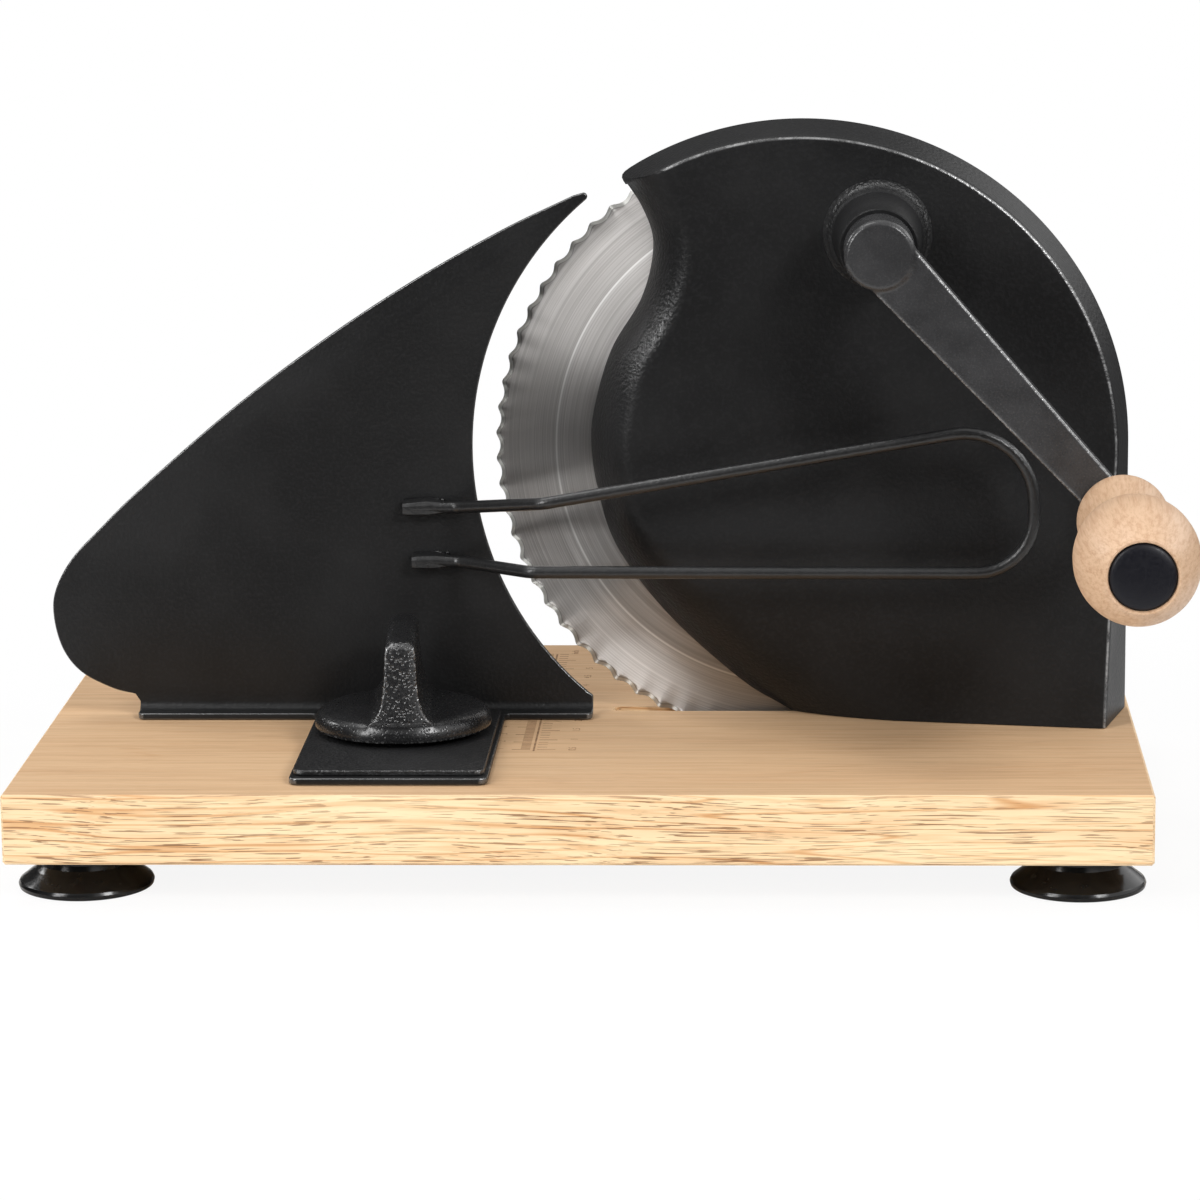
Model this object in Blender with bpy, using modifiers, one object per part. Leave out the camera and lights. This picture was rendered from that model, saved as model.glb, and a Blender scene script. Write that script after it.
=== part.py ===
"""A hand-cranked bread slicer: a toothed round blade behind a cast housing on a wooden board.

Lengths are in metres. Every place is measured from the board: x runs right from its left edge,
y runs back from its front edge and z runs up from its top face. One empty carries all of it and
puts the world's origin under the middle of the whole slicer, on the table.
"""

import math

import bmesh
import bpy
from mathutils import Matrix, Vector

MM = 0.001

# Fits
SEAT_GAP = 0.3 * MM
RUNNING_GAP = 0.3 * MM

# Board
BOARD_LENGTH = 350 * MM
BOARD_WIDTH = 210 * MM
BOARD_THICKNESS = 22 * MM
BOARD_EDGE_ROUND = 0.8 * MM
SLOT_LENGTH = 124 * MM
SLOT_WIDTH = 6 * MM
SLOT_FLOOR_GAP = 3 * MM

# Suction feet
FOOT_HEIGHT = 12.5 * MM
FOOT_TOP_RADIUS = 14 * MM
FOOT_RIM_RADIUS = 21 * MM
FOOT_RIM_WIDTH = 2.2 * MM
FOOT_SIDE_INSET = 21.6 * MM
FOOT_END_INSET = 25 * MM
FOOT_HOLLOW_HEIGHT = 6.5 * MM
FOOT_SEAT_RADIUS = 6.5 * MM
FOOT_SCREW_RADIUS = 2 * MM
FOOT_SCREW_HEAD_RADIUS = 4 * MM
FOOT_SCREW_HEAD_HEIGHT = 2.2 * MM
FOOT_SCREW_GRIP = 13 * MM

# Blade
BLADE_TIP_RADIUS = 98.7 * MM
BLADE_TOOTH_HEIGHT = 1.4 * MM
BLADE_TEETH = 73
BLADE_THICKNESS = 1.2 * MM
BLADE_EDGE_THICKNESS = 0.3 * MM
BLADE_FRONT_BEVEL = 19.5 * MM
BLADE_BACK_BEVEL = 13.5 * MM
BLADE_BORE_RADIUS = 28 * MM
BLADE_DIP = 11.2 * MM
BLADE_RECESS = 1.5 * MM
HUB_DISC_GAP = 1 * MM
RIVET_CIRCLE_RADIUS = 40 * MM
RIVET_COUNT = 3
RIVET_SHANK_RADIUS = 2.2 * MM
RIVET_HEAD_RADIUS = 4.4 * MM
RIVET_HEAD_HEIGHT = 1.5 * MM

# Gears, whose module makes the pinion reach to a gap inside the housing's rim
PINION_RIM_GAP = 9 * MM
GEAR_TEETH = 54
PINION_TEETH = 20
GEAR_FACE = 7 * MM
GEAR_BACKLASH = 0.35 * MM
GEAR_HUB_RADIUS = 13 * MM
PINION_HUB_RADIUS = 11 * MM
GEAR_PRESSURE_ANGLE = math.radians(20)
CRANK_DIRECTION = math.radians(71.1)

# Bearings
AXLE_RADIUS = 5 * MM
SHAFT_RADIUS = 5 * MM
BUSH_WALL = 2.7 * MM
THRUST_WASHER_RADIUS = 10.5 * MM
THRUST_WASHER_THICKNESS = 1 * MM
CENTRE_SCREW_RADIUS = 2.5 * MM
CENTRE_SCREW_LENGTH = 13 * MM
CENTRE_SCREW_HEAD_RADIUS = 4.2 * MM
CENTRE_SCREW_HEAD_HEIGHT = 2.7 * MM
CENTRE_WASHER_RADIUS = 5.5 * MM
CENTRE_WASHER_THICKNESS = 1 * MM

# Housing
HOUSING_RIM_WIDTH = 3.8 * MM
HOUSING_SIDE_INSET = 1.6 * MM
HOUSING_LEAN = 0.058
HOUSING_SCOOP = 0.165
HOUSING_SCOOP_HEIGHT = 65 * MM
HOUSING_SCOOP_START = 10 * MM
HOUSING_BACK = 115 * MM
HOUSING_DEPTH = 24.6 * MM
HOUSING_WALL = 3 * MM
HOUSING_DRAFT = 0.2
HOUSING_CORNER_DRAFT = 0.27
HOUSING_LIP_DRAFT = 0.16
HOUSING_LIP_ROUND = 11 * MM
HOUSING_LOW_LIP_ROUND = 9 * MM
RIM_BLADE_GAP = 2.5 * MM
INNER_BOSS_RADIUS = 12 * MM
INNER_BOSS_LENGTH = 4.6 * MM
CRANK_BOSS_LENGTH = 26.2 * MM
CRANK_BOSS_FRONT_RADIUS = 12.2 * MM
CRANK_BOSS_BASE_RADIUS = 14 * MM
CRANK_BOSS_RING_RADIUS = 16.3 * MM
CRANK_BOSS_RING_HEIGHT = 2 * MM
CRANK_BOSS_RING_ROUND = 1 * MM
BASE_BOSS_RADIUS = 6 * MM
BASE_BOSS_HEIGHT = 20 * MM
BASE_BOSS_BACK_GAP = 9.5 * MM
BASE_BOSS_OFFSETS = (18.6 * MM, 56 * MM, 91 * MM)
BASE_SCREW_RADIUS = 2 * MM
BASE_SCREW_BITE = 15 * MM
BASE_SCREW_HEAD_RADIUS = 4.2 * MM
BASE_SCREW_HEAD_HEIGHT = 2.6 * MM
BASE_SCREW_SINK = 4 * MM

# The housing's lip, the S-shaped edge beside the blade, from its beak down to the board.
# Each point is measured from the blade's centre, on a housing of the radius LIP_DRAWN_RADIUS.
LIP_DRAWN_RADIUS = 105 * MM
LIP_POINTS = (
    (-58.2 * MM, 87.2 * MM),
    (-51.6 * MM, 77.0 * MM),
    (-48.2 * MM, 65.5 * MM),
    (-51.8 * MM, 49.2 * MM),
    (-61.8 * MM, 32.0 * MM),
    (-67.5 * MM, 13.0 * MM),
    (-68.6 * MM, 0.5 * MM),
    (-66.6 * MM, -14.5 * MM),
    (-60.5 * MM, -33.4 * MM),
    (-44.2 * MM, -55.8 * MM),
    (-20.6 * MM, -78.0 * MM),
    (-6.6 * MM, -87.2 * MM),
)

# Crank
ARM_LENGTH = 110.6 * MM
ARM_DROP_ANGLE = math.radians(47.5)
ARM_STANDOFF = 17.2 * MM
ARM_THICKNESS = 9 * MM
ARM_HUB_END_WIDTH = 18.4 * MM
ARM_KNOB_END_WIDTH = 12 * MM
ARM_EYE_RADIUS = 7.5 * MM
ARM_HUB_RADIUS = 11 * MM
ARM_HUB_FACE_RADIUS = 10.2 * MM
ARM_HUB_PROUD = 1.4 * MM
ARM_SOCKET_WALL = 4 * MM
ARM_HUB_OVERLAP = 6 * MM

# Crank knob
KNOB_LENGTH = 89.7 * MM
KNOB_FLANGE_RADIUS = 14.5 * MM
KNOB_WAIST_RADIUS = 11.2 * MM
KNOB_BELLY_RADIUS = 19.3 * MM
KNOB_FACE_RADIUS = 11.4 * MM
KNOB_AXLE_RADIUS = 3 * MM
KNOB_AXLE_HEAD_RADIUS = 5.2 * MM
KNOB_AXLE_HEAD_HEIGHT = 2 * MM
KNOB_AXLE_RECESS = 7.5 * MM
CAP_RADIUS = 9.9 * MM
CAP_DEPTH = 2.4 * MM
CAP_DOME = 0.8 * MM

# Fence
FENCE_THICKNESS = 2 * MM
FENCE_SLICE = 7.5 * MM
FENCE_SPAN = 137.2 * MM
FENCE_BLADE_GAP = 7 * MM
FENCE_TIP_RADIUS = 1.2 * MM
FENCE_TIP_ANGLE = math.radians(130.3)
FENCE_END_HEIGHT = 9 * MM
FENCE_END_OFFSET = 67.8 * MM
FENCE_FLANGE_WIDTH = 6.7 * MM
FENCE_BEND_RADIUS = 3.5 * MM
FENCE_FLANGE_LEFT = 27.5 * MM
FENCE_CORNER_ROUND = 3 * MM
FENCE_OUT = 6 * MM
FENCE_IN = 7 * MM
TONGUE_WIDTH = 61 * MM
TONGUE_FRONT = 11.5 * MM
DOUBLER_THICKNESS = 1.5 * MM
DOUBLER_MARGIN = 1.2 * MM
DOUBLER_FRONT_MARGIN = 3 * MM

# The fence's long sloping edge and its nose, from the tip beside the blade down to the flange.
# Each point is measured from the nose, and up from the board.
FENCE_EDGE_POINTS = (
    (170.4 * MM, 169.3 * MM),
    (147.1 * MM, 158.2 * MM),
    (118.1 * MM, 141.8 * MM),
    (88.9 * MM, 122.7 * MM),
    (59.4 * MM, 100.6 * MM),
    (29.5 * MM, 74.9 * MM),
    (15.9 * MM, 61.8 * MM),
    (6.7 * MM, 52.1 * MM),
    (1.2 * MM, 42.2 * MM),
    (0.1 * MM, 33.5 * MM),
    (2.6 * MM, 22.6 * MM),
    (8.5 * MM, 14.6 * MM),
    (18.5 * MM, 9.2 * MM),
    (26.0 * MM, 7.2 * MM),
)

# Wire guard welded to the fence
GUARD_WIRE_RADIUS = 2 * MM
GUARD_HOUSING_GAP = 14.4 * MM
GUARD_BEND_RADIUS = 6 * MM
GUARD_NOSE_TOP_RADIUS = 22 * MM
GUARD_NOSE_BOTTOM_RADIUS = 18 * MM
GUARD_TOP_WELD = (-128 * MM, -18.2 * MM)
GUARD_TOP_WELD_END = (-110.5 * MM, -18.2 * MM)
GUARD_TOP_KNEE = (-82 * MM, -12.2 * MM)
GUARD_NOSE_TOP = (73 * MM, 14.1 * MM)
GUARD_NOSE_BOTTOM = (73 * MM, -34.7 * MM)
GUARD_BOTTOM_KNEE = (-86 * MM, -34.2 * MM)
GUARD_BOTTOM_WELD_END = (-110 * MM, -36 * MM)
GUARD_BOTTOM_WELD = (-125.6 * MM, -35.6 * MM)

# Clamp
CLAMP_FENCE_GAP = 1 * MM
CLAMP_OFFSET = 116.5 * MM
CLAMP_BOLT_RADIUS = 4 * MM
CLAMP_BOLT_HEAD_RADIUS = 9 * MM
CLAMP_BOLT_HEAD_HEIGHT = 3.2 * MM
CLAMP_BOLT_SINK = 4.5 * MM
CLAMP_BOLT_BITE = 17 * MM
CLAMP_SLOT_GAP = 0.5 * MM
CLAMP_WASHER_RADIUS = 9.5 * MM
CLAMP_WASHER_THICKNESS = 1 * MM
CLAMP_DISC_RADIUS = 28 * MM
CLAMP_DISC_HEIGHT = 6 * MM
CLAMP_DISC_DRAFT = 1.2 * MM
CLAMP_DISC_EDGE = 1 * MM
CLAMP_DISC_CROWN = 1 * MM
CLAMP_WING_HEIGHT = 31.2 * MM
CLAMP_WING_WIDTH = 9.2 * MM
CLAMP_WING_DRAFT = 2.4 * MM
CLAMP_WING_FLARE = 13 * MM
CLAMP_WING_FLARE_HEIGHT = 4 * MM
CLAMP_WING_ROOT = 1 * MM
CLAMP_WING_STEP = 0.4 * MM
CLAMP_WING_END_DRAFT = 5 * MM
CLAMP_WING_TOP_ROUND = 1.8 * MM
CLAMP_WING_TURN = math.radians(3.3)

# Places worked out from the sizes above
RIM_RADIUS = BLADE_TIP_RADIUS + RIM_BLADE_GAP
HOUSING_RADIUS = RIM_RADIUS + HOUSING_RIM_WIDTH
BLADE_X = BOARD_LENGTH - HOUSING_SIDE_INSET - HOUSING_RADIUS
BLADE_HEIGHT = BLADE_TIP_RADIUS - BLADE_DIP
BLADE_PLANE = HOUSING_BACK - BLADE_RECESS
GEAR_MODULE = (HOUSING_RADIUS - PINION_RIM_GAP) / (GEAR_TEETH / 2 + PINION_TEETH + 1)
GEAR_DISTANCE = GEAR_MODULE * (GEAR_TEETH + PINION_TEETH) / 2
CRANK_X = BLADE_X + GEAR_DISTANCE * math.cos(CRANK_DIRECTION)
CRANK_HEIGHT = BLADE_HEIGHT + GEAR_DISTANCE * math.sin(CRANK_DIRECTION)
KNOB_X = CRANK_X + ARM_LENGTH * math.cos(ARM_DROP_ANGLE)
KNOB_HEIGHT = CRANK_HEIGHT - ARM_LENGTH * math.sin(ARM_DROP_ANGLE)
TABLE_HEIGHT = -(BOARD_THICKNESS + SEAT_GAP + FOOT_HEIGHT)

HOUSING_FRONT = HOUSING_BACK - HOUSING_DEPTH
HOUSING_INNER_FACE = HOUSING_FRONT + HOUSING_WALL
INNER_BOSS_BACK = HOUSING_INNER_FACE + INNER_BOSS_LENGTH
CRANK_BOSS_ROOT = HOUSING_FRONT + HOUSING_LEAN * (CRANK_HEIGHT - BLADE_HEIGHT)
CRANK_BOSS_FRONT = HOUSING_FRONT - CRANK_BOSS_LENGTH
BUSH_BORE = SHAFT_RADIUS + RUNNING_GAP
AXLE_BUSH_BORE = AXLE_RADIUS + RUNNING_GAP
CRANK_BUSH_RADIUS = BUSH_BORE + BUSH_WALL
BLADE_BUSH_RADIUS = AXLE_BUSH_BORE + BUSH_WALL

BLADE_FRONT_FACE = BLADE_PLANE - BLADE_THICKNESS / 2
BLADE_BACK_FACE = BLADE_PLANE + BLADE_THICKNESS / 2
GEAR_BACK = BLADE_FRONT_FACE - SEAT_GAP
GEAR_FRONT = GEAR_BACK - GEAR_FACE
THRUST_WASHER_FRONT = INNER_BOSS_BACK + SEAT_GAP
HUB_FRONT = THRUST_WASHER_FRONT + THRUST_WASHER_THICKNESS + SEAT_GAP

ARM_FRONT = CRANK_BOSS_FRONT - ARM_STANDOFF
ARM_BACK = ARM_FRONT + ARM_THICKNESS
KNOB_BACK = ARM_FRONT - SEAT_GAP
KNOB_FRONT = KNOB_BACK - KNOB_LENGTH
CAP_BACK = KNOB_FRONT + CAP_DEPTH
CAP_FRONT = KNOB_FRONT - CAP_DOME

FENCE_BACK = BLADE_PLANE - FENCE_SLICE
FENCE_FRONT = FENCE_BACK - FENCE_THICKNESS
FENCE_EDGE_RADIUS = BLADE_TIP_RADIUS + FENCE_BLADE_GAP
FENCE_NOSE_X = BLADE_X - FENCE_EDGE_RADIUS - FENCE_SPAN
GUARD_PLANE = HOUSING_FRONT - GUARD_HOUSING_GAP
FLANGE_FRONT = FENCE_FRONT - FENCE_FLANGE_WIDTH
FLANGE_LEFT_X = FENCE_NOSE_X + FENCE_FLANGE_LEFT
FENCE_END_X = BLADE_X - FENCE_END_OFFSET
CLAMP_X = FENCE_NOSE_X + CLAMP_OFFSET
CLAMP_DEPTH = FENCE_FRONT - FENCE_OUT - CLAMP_FENCE_GAP - CLAMP_DISC_RADIUS
TONGUE_TOP = SEAT_GAP + FENCE_THICKNESS
DOUBLER_BOTTOM = TONGUE_TOP + SEAT_GAP
DOUBLER_TOP = DOUBLER_BOTTOM + DOUBLER_THICKNESS
CLAMP_WASHER_BOTTOM = DOUBLER_TOP + SEAT_GAP
CLAMP_BOTTOM = CLAMP_WASHER_BOTTOM + CLAMP_WASHER_THICKNESS + SEAT_GAP
CLAMP_SLOT_RADIUS = CLAMP_BOLT_RADIUS + CLAMP_SLOT_GAP

LEFT_END = min(0.0, FENCE_NOSE_X)
RIGHT_END = max(BOARD_LENGTH, KNOB_X + KNOB_BELLY_RADIUS)
FRONT_END = min(0.0, CAP_FRONT)
BACK_END = BOARD_WIDTH


# Scene

for old in list(bpy.data.objects):
    bpy.data.objects.remove(old, do_unlink=True)


def new_collection(name):
    collection = bpy.data.collections.new(name)
    bpy.context.scene.collection.children.link(collection)
    return collection


SLICER = new_collection("bread_slicer")
CUTTERS = new_collection("cutters")


def new_axis(name, x, y, z, parent=None):
    """An empty that pieces are placed from, such as the axis that they turn about."""
    empty = bpy.data.objects.new(name, None)
    empty.empty_display_size = 0.02
    empty.location = (x, y, z)
    empty.parent = parent
    SLICER.objects.link(empty)
    return empty


def new_material(name, color, roughness, metallic=0.0):
    material = bpy.data.materials.new(name)
    material.use_nodes = True
    shader = material.node_tree.nodes["Principled BSDF"]
    shader.inputs["Base Color"].default_value = (*color, 1.0)
    shader.inputs["Roughness"].default_value = roughness
    shader.inputs["Metallic"].default_value = metallic
    return material


BEECH = new_material("beech", (0.75, 0.48, 0.28), 0.5)
KNOB_WOOD = new_material("turned_beech", (0.76, 0.50, 0.29), 0.45)
BLACK_CAST = new_material("black_powder_coat", (0.020, 0.020, 0.022), 0.42)
BLACK_HAMMERED = new_material("black_hammered_coat", (0.030, 0.030, 0.032), 0.35)
BLACK_SHEET = new_material("black_sheet_coat", (0.018, 0.018, 0.020), 0.38)
BLADE_STEEL = new_material("brushed_blade_steel", (0.60, 0.58, 0.56), 0.28, 1.0)
PLAIN_STEEL = new_material("zinc_plated_steel", (0.55, 0.56, 0.58), 0.35, 1.0)
BRONZE = new_material("bearing_bronze", (0.55, 0.36, 0.18), 0.4, 1.0)
GEAR_PLASTIC = new_material("gear_plastic", (0.75, 0.74, 0.70), 0.45)
RUBBER = new_material("black_rubber", (0.012, 0.012, 0.013), 0.22)
CAP_PLASTIC = new_material("black_cap_plastic", (0.010, 0.010, 0.013), 0.45)

ORIGIN = new_axis(
    "slicer_origin", -(LEFT_END + RIGHT_END) / 2, -(FRONT_END + BACK_END) / 2, -TABLE_HEIGHT
)
BLADE_AXIS = new_axis("blade_axis", BLADE_X, 0, BLADE_HEIGHT, ORIGIN)
CRANK_AXIS = new_axis("crank_axis", CRANK_X, 0, CRANK_HEIGHT, ORIGIN)
KNOB_AXIS = new_axis("knob_axis", KNOB_X - CRANK_X, 0, KNOB_HEIGHT - CRANK_HEIGHT, CRANK_AXIS)
FENCE_ORIGIN = new_axis("fence_origin", 0, 0, 0, ORIGIN)
CLAMP_AXIS = new_axis("clamp_axis", CLAMP_X, CLAMP_DEPTH, 0, ORIGIN)

UPRIGHT = (math.radians(90), 0, 0)
ALONG_Y = (math.radians(-90), 0, 0)
# A hole is turned a little about its axis, so that none of its edges meets an edge of its boss.
HOLE_ALONG_Y = (math.radians(-90), math.radians(2), 0)
LEVEL = (0, 0, 0)


# Shape tools

def new_object(name, mesh, material, parent, collection=None):
    piece = bpy.data.objects.new(name, mesh)
    if material:
        mesh.materials.append(material)
    piece.parent = parent
    (collection or SLICER).objects.link(piece)
    return piece


def mark_cutter(piece):
    """Moves a piece to the cutters, which are never part of the slicer."""
    for collection in list(piece.users_collection):
        collection.objects.unlink(piece)
    CUTTERS.objects.link(piece)
    piece.hide_render = True
    piece.display_type = "WIRE"
    return piece


def boolean(piece, other, operation="DIFFERENCE"):
    mark_cutter(other)
    modifier = piece.modifiers.new(f"{operation.lower()}_{other.name}", "BOOLEAN")
    modifier.operation = operation
    modifier.object = other
    modifier.solver = "EXACT"


def round_edges(piece, width, segments=1):
    modifier = piece.modifiers.new("rounded_edges", "BEVEL")
    modifier.width = width
    modifier.segments = segments
    modifier.limit_method = "ANGLE"
    modifier.angle_limit = math.radians(40)


def turned(name, profile, material, parent, steps=32, rotation=ALONG_Y, location=(0, 0, 0)):
    """A lathe-turned piece. Each point of the profile is (radius, distance along the axis)."""
    area = sum(
        r0 * z1 - r1 * z0 for (r0, z0), (r1, z1) in zip(profile, profile[1:] + profile[:1])
    )
    points = profile if area < 0 else profile[::-1]
    on_axis = points[0][0] == 0 and points[-1][0] == 0
    mesh = bpy.data.meshes.new(name)
    work = bmesh.new()
    verts = [work.verts.new((r, 0, z)) for r, z in points]
    for first, second in zip(verts, verts[1:] + ([] if on_axis else verts[:1])):
        work.edges.new((first, second))
    work.to_mesh(mesh)
    work.free()
    piece = new_object(name, mesh, material, parent)
    piece.rotation_euler = rotation
    piece.location = location
    screw = piece.modifiers.new("turning", "SCREW")
    screw.axis = "Z"
    screw.angle = math.radians(360)
    screw.steps = steps
    screw.render_steps = steps
    screw.use_merge_vertices = True
    screw.merge_threshold = 0.01 * MM
    screw.use_smooth_shade = True
    return piece


def from_curve(curve_object, name, material, parent):
    """The curve's solid as a mesh, with its caps welded to its sides."""
    bpy.context.view_layer.update()
    graph = bpy.context.evaluated_depsgraph_get()
    mesh = bpy.data.meshes.new_from_object(curve_object.evaluated_get(graph))
    mesh.name = name
    work = bmesh.new()
    work.from_mesh(mesh)
    bmesh.ops.remove_doubles(work, verts=work.verts, dist=0.001 * MM)
    work.to_mesh(mesh)
    work.free()
    mesh.materials.clear()
    piece = new_object(name, mesh, material, parent)
    bpy.data.objects.remove(curve_object, do_unlink=True)
    return piece


def plate(name, loops, low, high, material, parent, rotation=UPRIGHT):
    """A flat plate of the first loop, with the other loops as holes.

    An upright plate lies between the depths low and high, a level one between two heights.
    """
    curve = bpy.data.curves.new(name + "_outline", "CURVE")
    curve.dimensions = "2D"
    curve.fill_mode = "BOTH"
    curve.extrude = (high - low) / 2
    for loop in loops:
        spline = curve.splines.new("POLY")
        spline.points.add(len(loop) - 1)
        for point, (x, y) in zip(spline.points, loop):
            point.co = (x, y, 0, 1)
        spline.use_cyclic_u = True
    outline = bpy.data.objects.new(name + "_outline", curve)
    SLICER.objects.link(outline)
    piece = from_curve(outline, name, material, parent)
    middle = (low + high) / 2
    piece.rotation_euler = rotation
    piece.location = (0, middle, 0) if rotation == UPRIGHT else (0, 0, middle)
    return piece


def wire(name, points, radius, material, parent):
    """A round wire through the points."""
    curve = bpy.data.curves.new(name + "_path", "CURVE")
    curve.dimensions = "3D"
    curve.bevel_depth = radius
    curve.bevel_resolution = 2
    curve.use_fill_caps = True
    spline = curve.splines.new("POLY")
    spline.points.add(len(points) - 1)
    for point, place in zip(spline.points, points):
        point.co = (*place, 1)
    path = bpy.data.objects.new(name + "_path", curve)
    SLICER.objects.link(path)
    return from_curve(path, name, material, parent)


def loft(name, rings, material, parent, closed=False):
    """A skin over rings. Its ends are capped, or joined where it is closed.

    A ring can hold a whole number of times the points of the ring next to it.
    """
    mesh = bpy.data.meshes.new(name)
    work = bmesh.new()
    rows = [[work.verts.new(point) for point in ring] for ring in rings]
    for near, far in zip(rows, rows[1:] + (rows[:1] if closed else [])):
        count = min(len(near), len(far))
        per_near, per_far = len(near) // count, len(far) // count
        for i in range(count):
            there = [near[(i * per_near + k) % len(near)] for k in range(per_near + 1)]
            back = [far[(i * per_far + k) % len(far)] for k in range(per_far + 1)]
            work.faces.new(there + back[::-1])
    if not closed:
        work.faces.new(rows[0])
        work.faces.new(rows[-1])
    bmesh.ops.recalc_face_normals(work, faces=work.faces)
    bmesh.ops.triangulate(work, faces=work.faces)
    work.to_mesh(mesh)
    work.free()
    return new_object(name, mesh, material, parent)


def circle(radius, count, x=0.0, y=0.0):
    turns = [2 * math.pi * i / count for i in range(count)]
    return [(x + radius * math.cos(t), y + radius * math.sin(t)) for t in turns]


def arc(x, y, radius, start, end, count):
    """Points of an arc from the angle start to the angle end, both of them included."""
    turns = [start + (end - start) * i / (count - 1) for i in range(count)]
    return [(x + radius * math.cos(t), y + radius * math.sin(t)) for t in turns]


def smooth_through(points, steps):
    """A smooth curve through the points, with a number of steps between each two."""
    places = [Vector(p) for p in points]
    padded = [2 * places[0] - places[1]] + places + [2 * places[-1] - places[-2]]
    found = []
    for p0, p1, p2, p3 in zip(padded, padded[1:], padded[2:], padded[3:]):
        for i in range(steps):
            t = i / steps
            found.append(
                0.5
                * (
                    2 * p1
                    + (p2 - p0) * t
                    + (2 * p0 - 5 * p1 + 4 * p2 - p3) * t**2
                    + (3 * p1 - p0 - 3 * p2 + p3) * t**3
                )
            )
    found.append(places[-1])
    return [tuple(p) for p in found]


def rounded(corners, radii, steps=5):
    """The corners in order, each rounded to its radius. The ends of an open path have radius 0."""
    found = []
    for i, (corner, radius) in enumerate(zip(corners, radii)):
        if radius == 0:
            found.append(tuple(corner))
            continue
        here = Vector(corner)
        back = (Vector(corners[i - 1]) - here).normalized()
        ahead = (Vector(corners[(i + 1) % len(corners)]) - here).normalized()
        half = back.angle(ahead) / 2
        reach = radius / math.tan(half)
        centre = here + (back + ahead).normalized() * radius / math.sin(half)
        start = (here + back * reach - centre).normalized()
        end = (here + ahead * reach - centre).normalized()
        for k in range(steps + 1):
            found.append(tuple(centre + start.slerp(end, k / steps) * radius))
    return found


def rounded_box(x0, y0, x1, y1, radius, steps=4):
    corners = [(x0, y0), (x1, y0), (x1, y1), (x0, y1)]
    corners = [(*c, 0) for c in corners]
    return [(x, y) for x, y, _ in rounded(corners, [radius] * 4, steps)]


def washer(name, inner, outer, low, high, material, parent, rotation=ALONG_Y, steps=32):
    profile = [(inner, low), (outer, low), (outer, high), (inner, high)]
    return turned(name, profile, material, parent, steps, rotation)


def cylinder(name, radius, low, high, parent, rotation=ALONG_Y, location=(0, 0, 0), steps=32):
    profile = [(0, low), (radius, low), (radius, high), (0, high)]
    return turned(name, profile, None, parent, steps, rotation, location)


# Base board

def slot_outline(x, y, length, width, steps=8):
    """A slot with round ends, its length along x."""
    reach, radius = (length - width) / 2, width / 2
    right = arc(x + reach, y, radius, -math.pi / 2, math.pi / 2, steps)
    left = arc(x - reach, y, radius, math.pi / 2, 3 * math.pi / 2, steps)
    return right + left


def foot_places():
    xs = (FOOT_SIDE_INSET, BOARD_LENGTH - FOOT_SIDE_INSET)
    ys = (FOOT_END_INSET, BOARD_WIDTH - FOOT_END_INSET)
    names = ("front_left", "front_right", "back_left", "back_right")
    return list(zip(names, [(x, y) for y in ys for x in xs]))


def base_screw_places():
    y = HOUSING_BACK - BASE_BOSS_BACK_GAP
    return [(BLADE_X + offset, y) for offset in BASE_BOSS_OFFSETS]


def make_board():
    mesh = bpy.data.meshes.new("base_board")
    work = bmesh.new()
    bmesh.ops.create_cube(work, size=1)
    bmesh.ops.scale(work, verts=work.verts, vec=(BOARD_LENGTH, BOARD_WIDTH, BOARD_THICKNESS))
    bmesh.ops.translate(
        work, verts=work.verts, vec=(BOARD_LENGTH / 2, BOARD_WIDTH / 2, -BOARD_THICKNESS / 2)
    )
    work.to_mesh(mesh)
    work.free()
    board = new_object("base_board", mesh, BEECH, ORIGIN)
    round_edges(board, BOARD_EDGE_ROUND)

    blade_dip = BLADE_TIP_RADIUS - BLADE_HEIGHT
    slot = slot_outline(BLADE_X, BLADE_PLANE, SLOT_LENGTH, SLOT_WIDTH)
    depth = blade_dip + SLOT_FLOOR_GAP
    cut = plate("slot_cutter", [slot], -depth, 2 * MM, None, ORIGIN, LEVEL)
    boolean(board, cut)

    underside = -BOARD_THICKNESS
    for name, (x, y) in foot_places():
        hole = FOOT_SCREW_RADIUS + SEAT_GAP
        top = underside + FOOT_SCREW_GRIP + SEAT_GAP
        cut = cylinder(
            f"foot_hole_{name}", hole, underside - 1 * MM, top, ORIGIN, LEVEL, (x, y, 0), 12
        )
        boolean(board, cut)
    for i, (x, y) in enumerate(base_screw_places()):
        hole, bore = BASE_SCREW_RADIUS + SEAT_GAP, BASE_SCREW_HEAD_RADIUS + SEAT_GAP
        profile = [
            (0, underside - 1 * MM),
            (bore, underside - 1 * MM),
            (bore, underside + BASE_SCREW_SINK),
            (hole, underside + BASE_SCREW_SINK),
            (hole, 1 * MM),
            (0, 1 * MM),
        ]
        name = f"base_screw_hole_{i + 1}"
        boolean(board, turned(name, profile, None, ORIGIN, 12, LEVEL, (x, y, 0)))
    hole, bore = CLAMP_BOLT_RADIUS + SEAT_GAP, CLAMP_BOLT_HEAD_RADIUS + SEAT_GAP
    profile = [
        (0, underside - 1 * MM),
        (bore, underside - 1 * MM),
        (bore, underside + CLAMP_BOLT_SINK),
        (hole, underside + CLAMP_BOLT_SINK),
        (hole, 1 * MM),
        (0, 1 * MM),
    ]
    boolean(board, turned("clamp_bolt_hole", profile, None, CLAMP_AXIS, 24, LEVEL))


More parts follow.
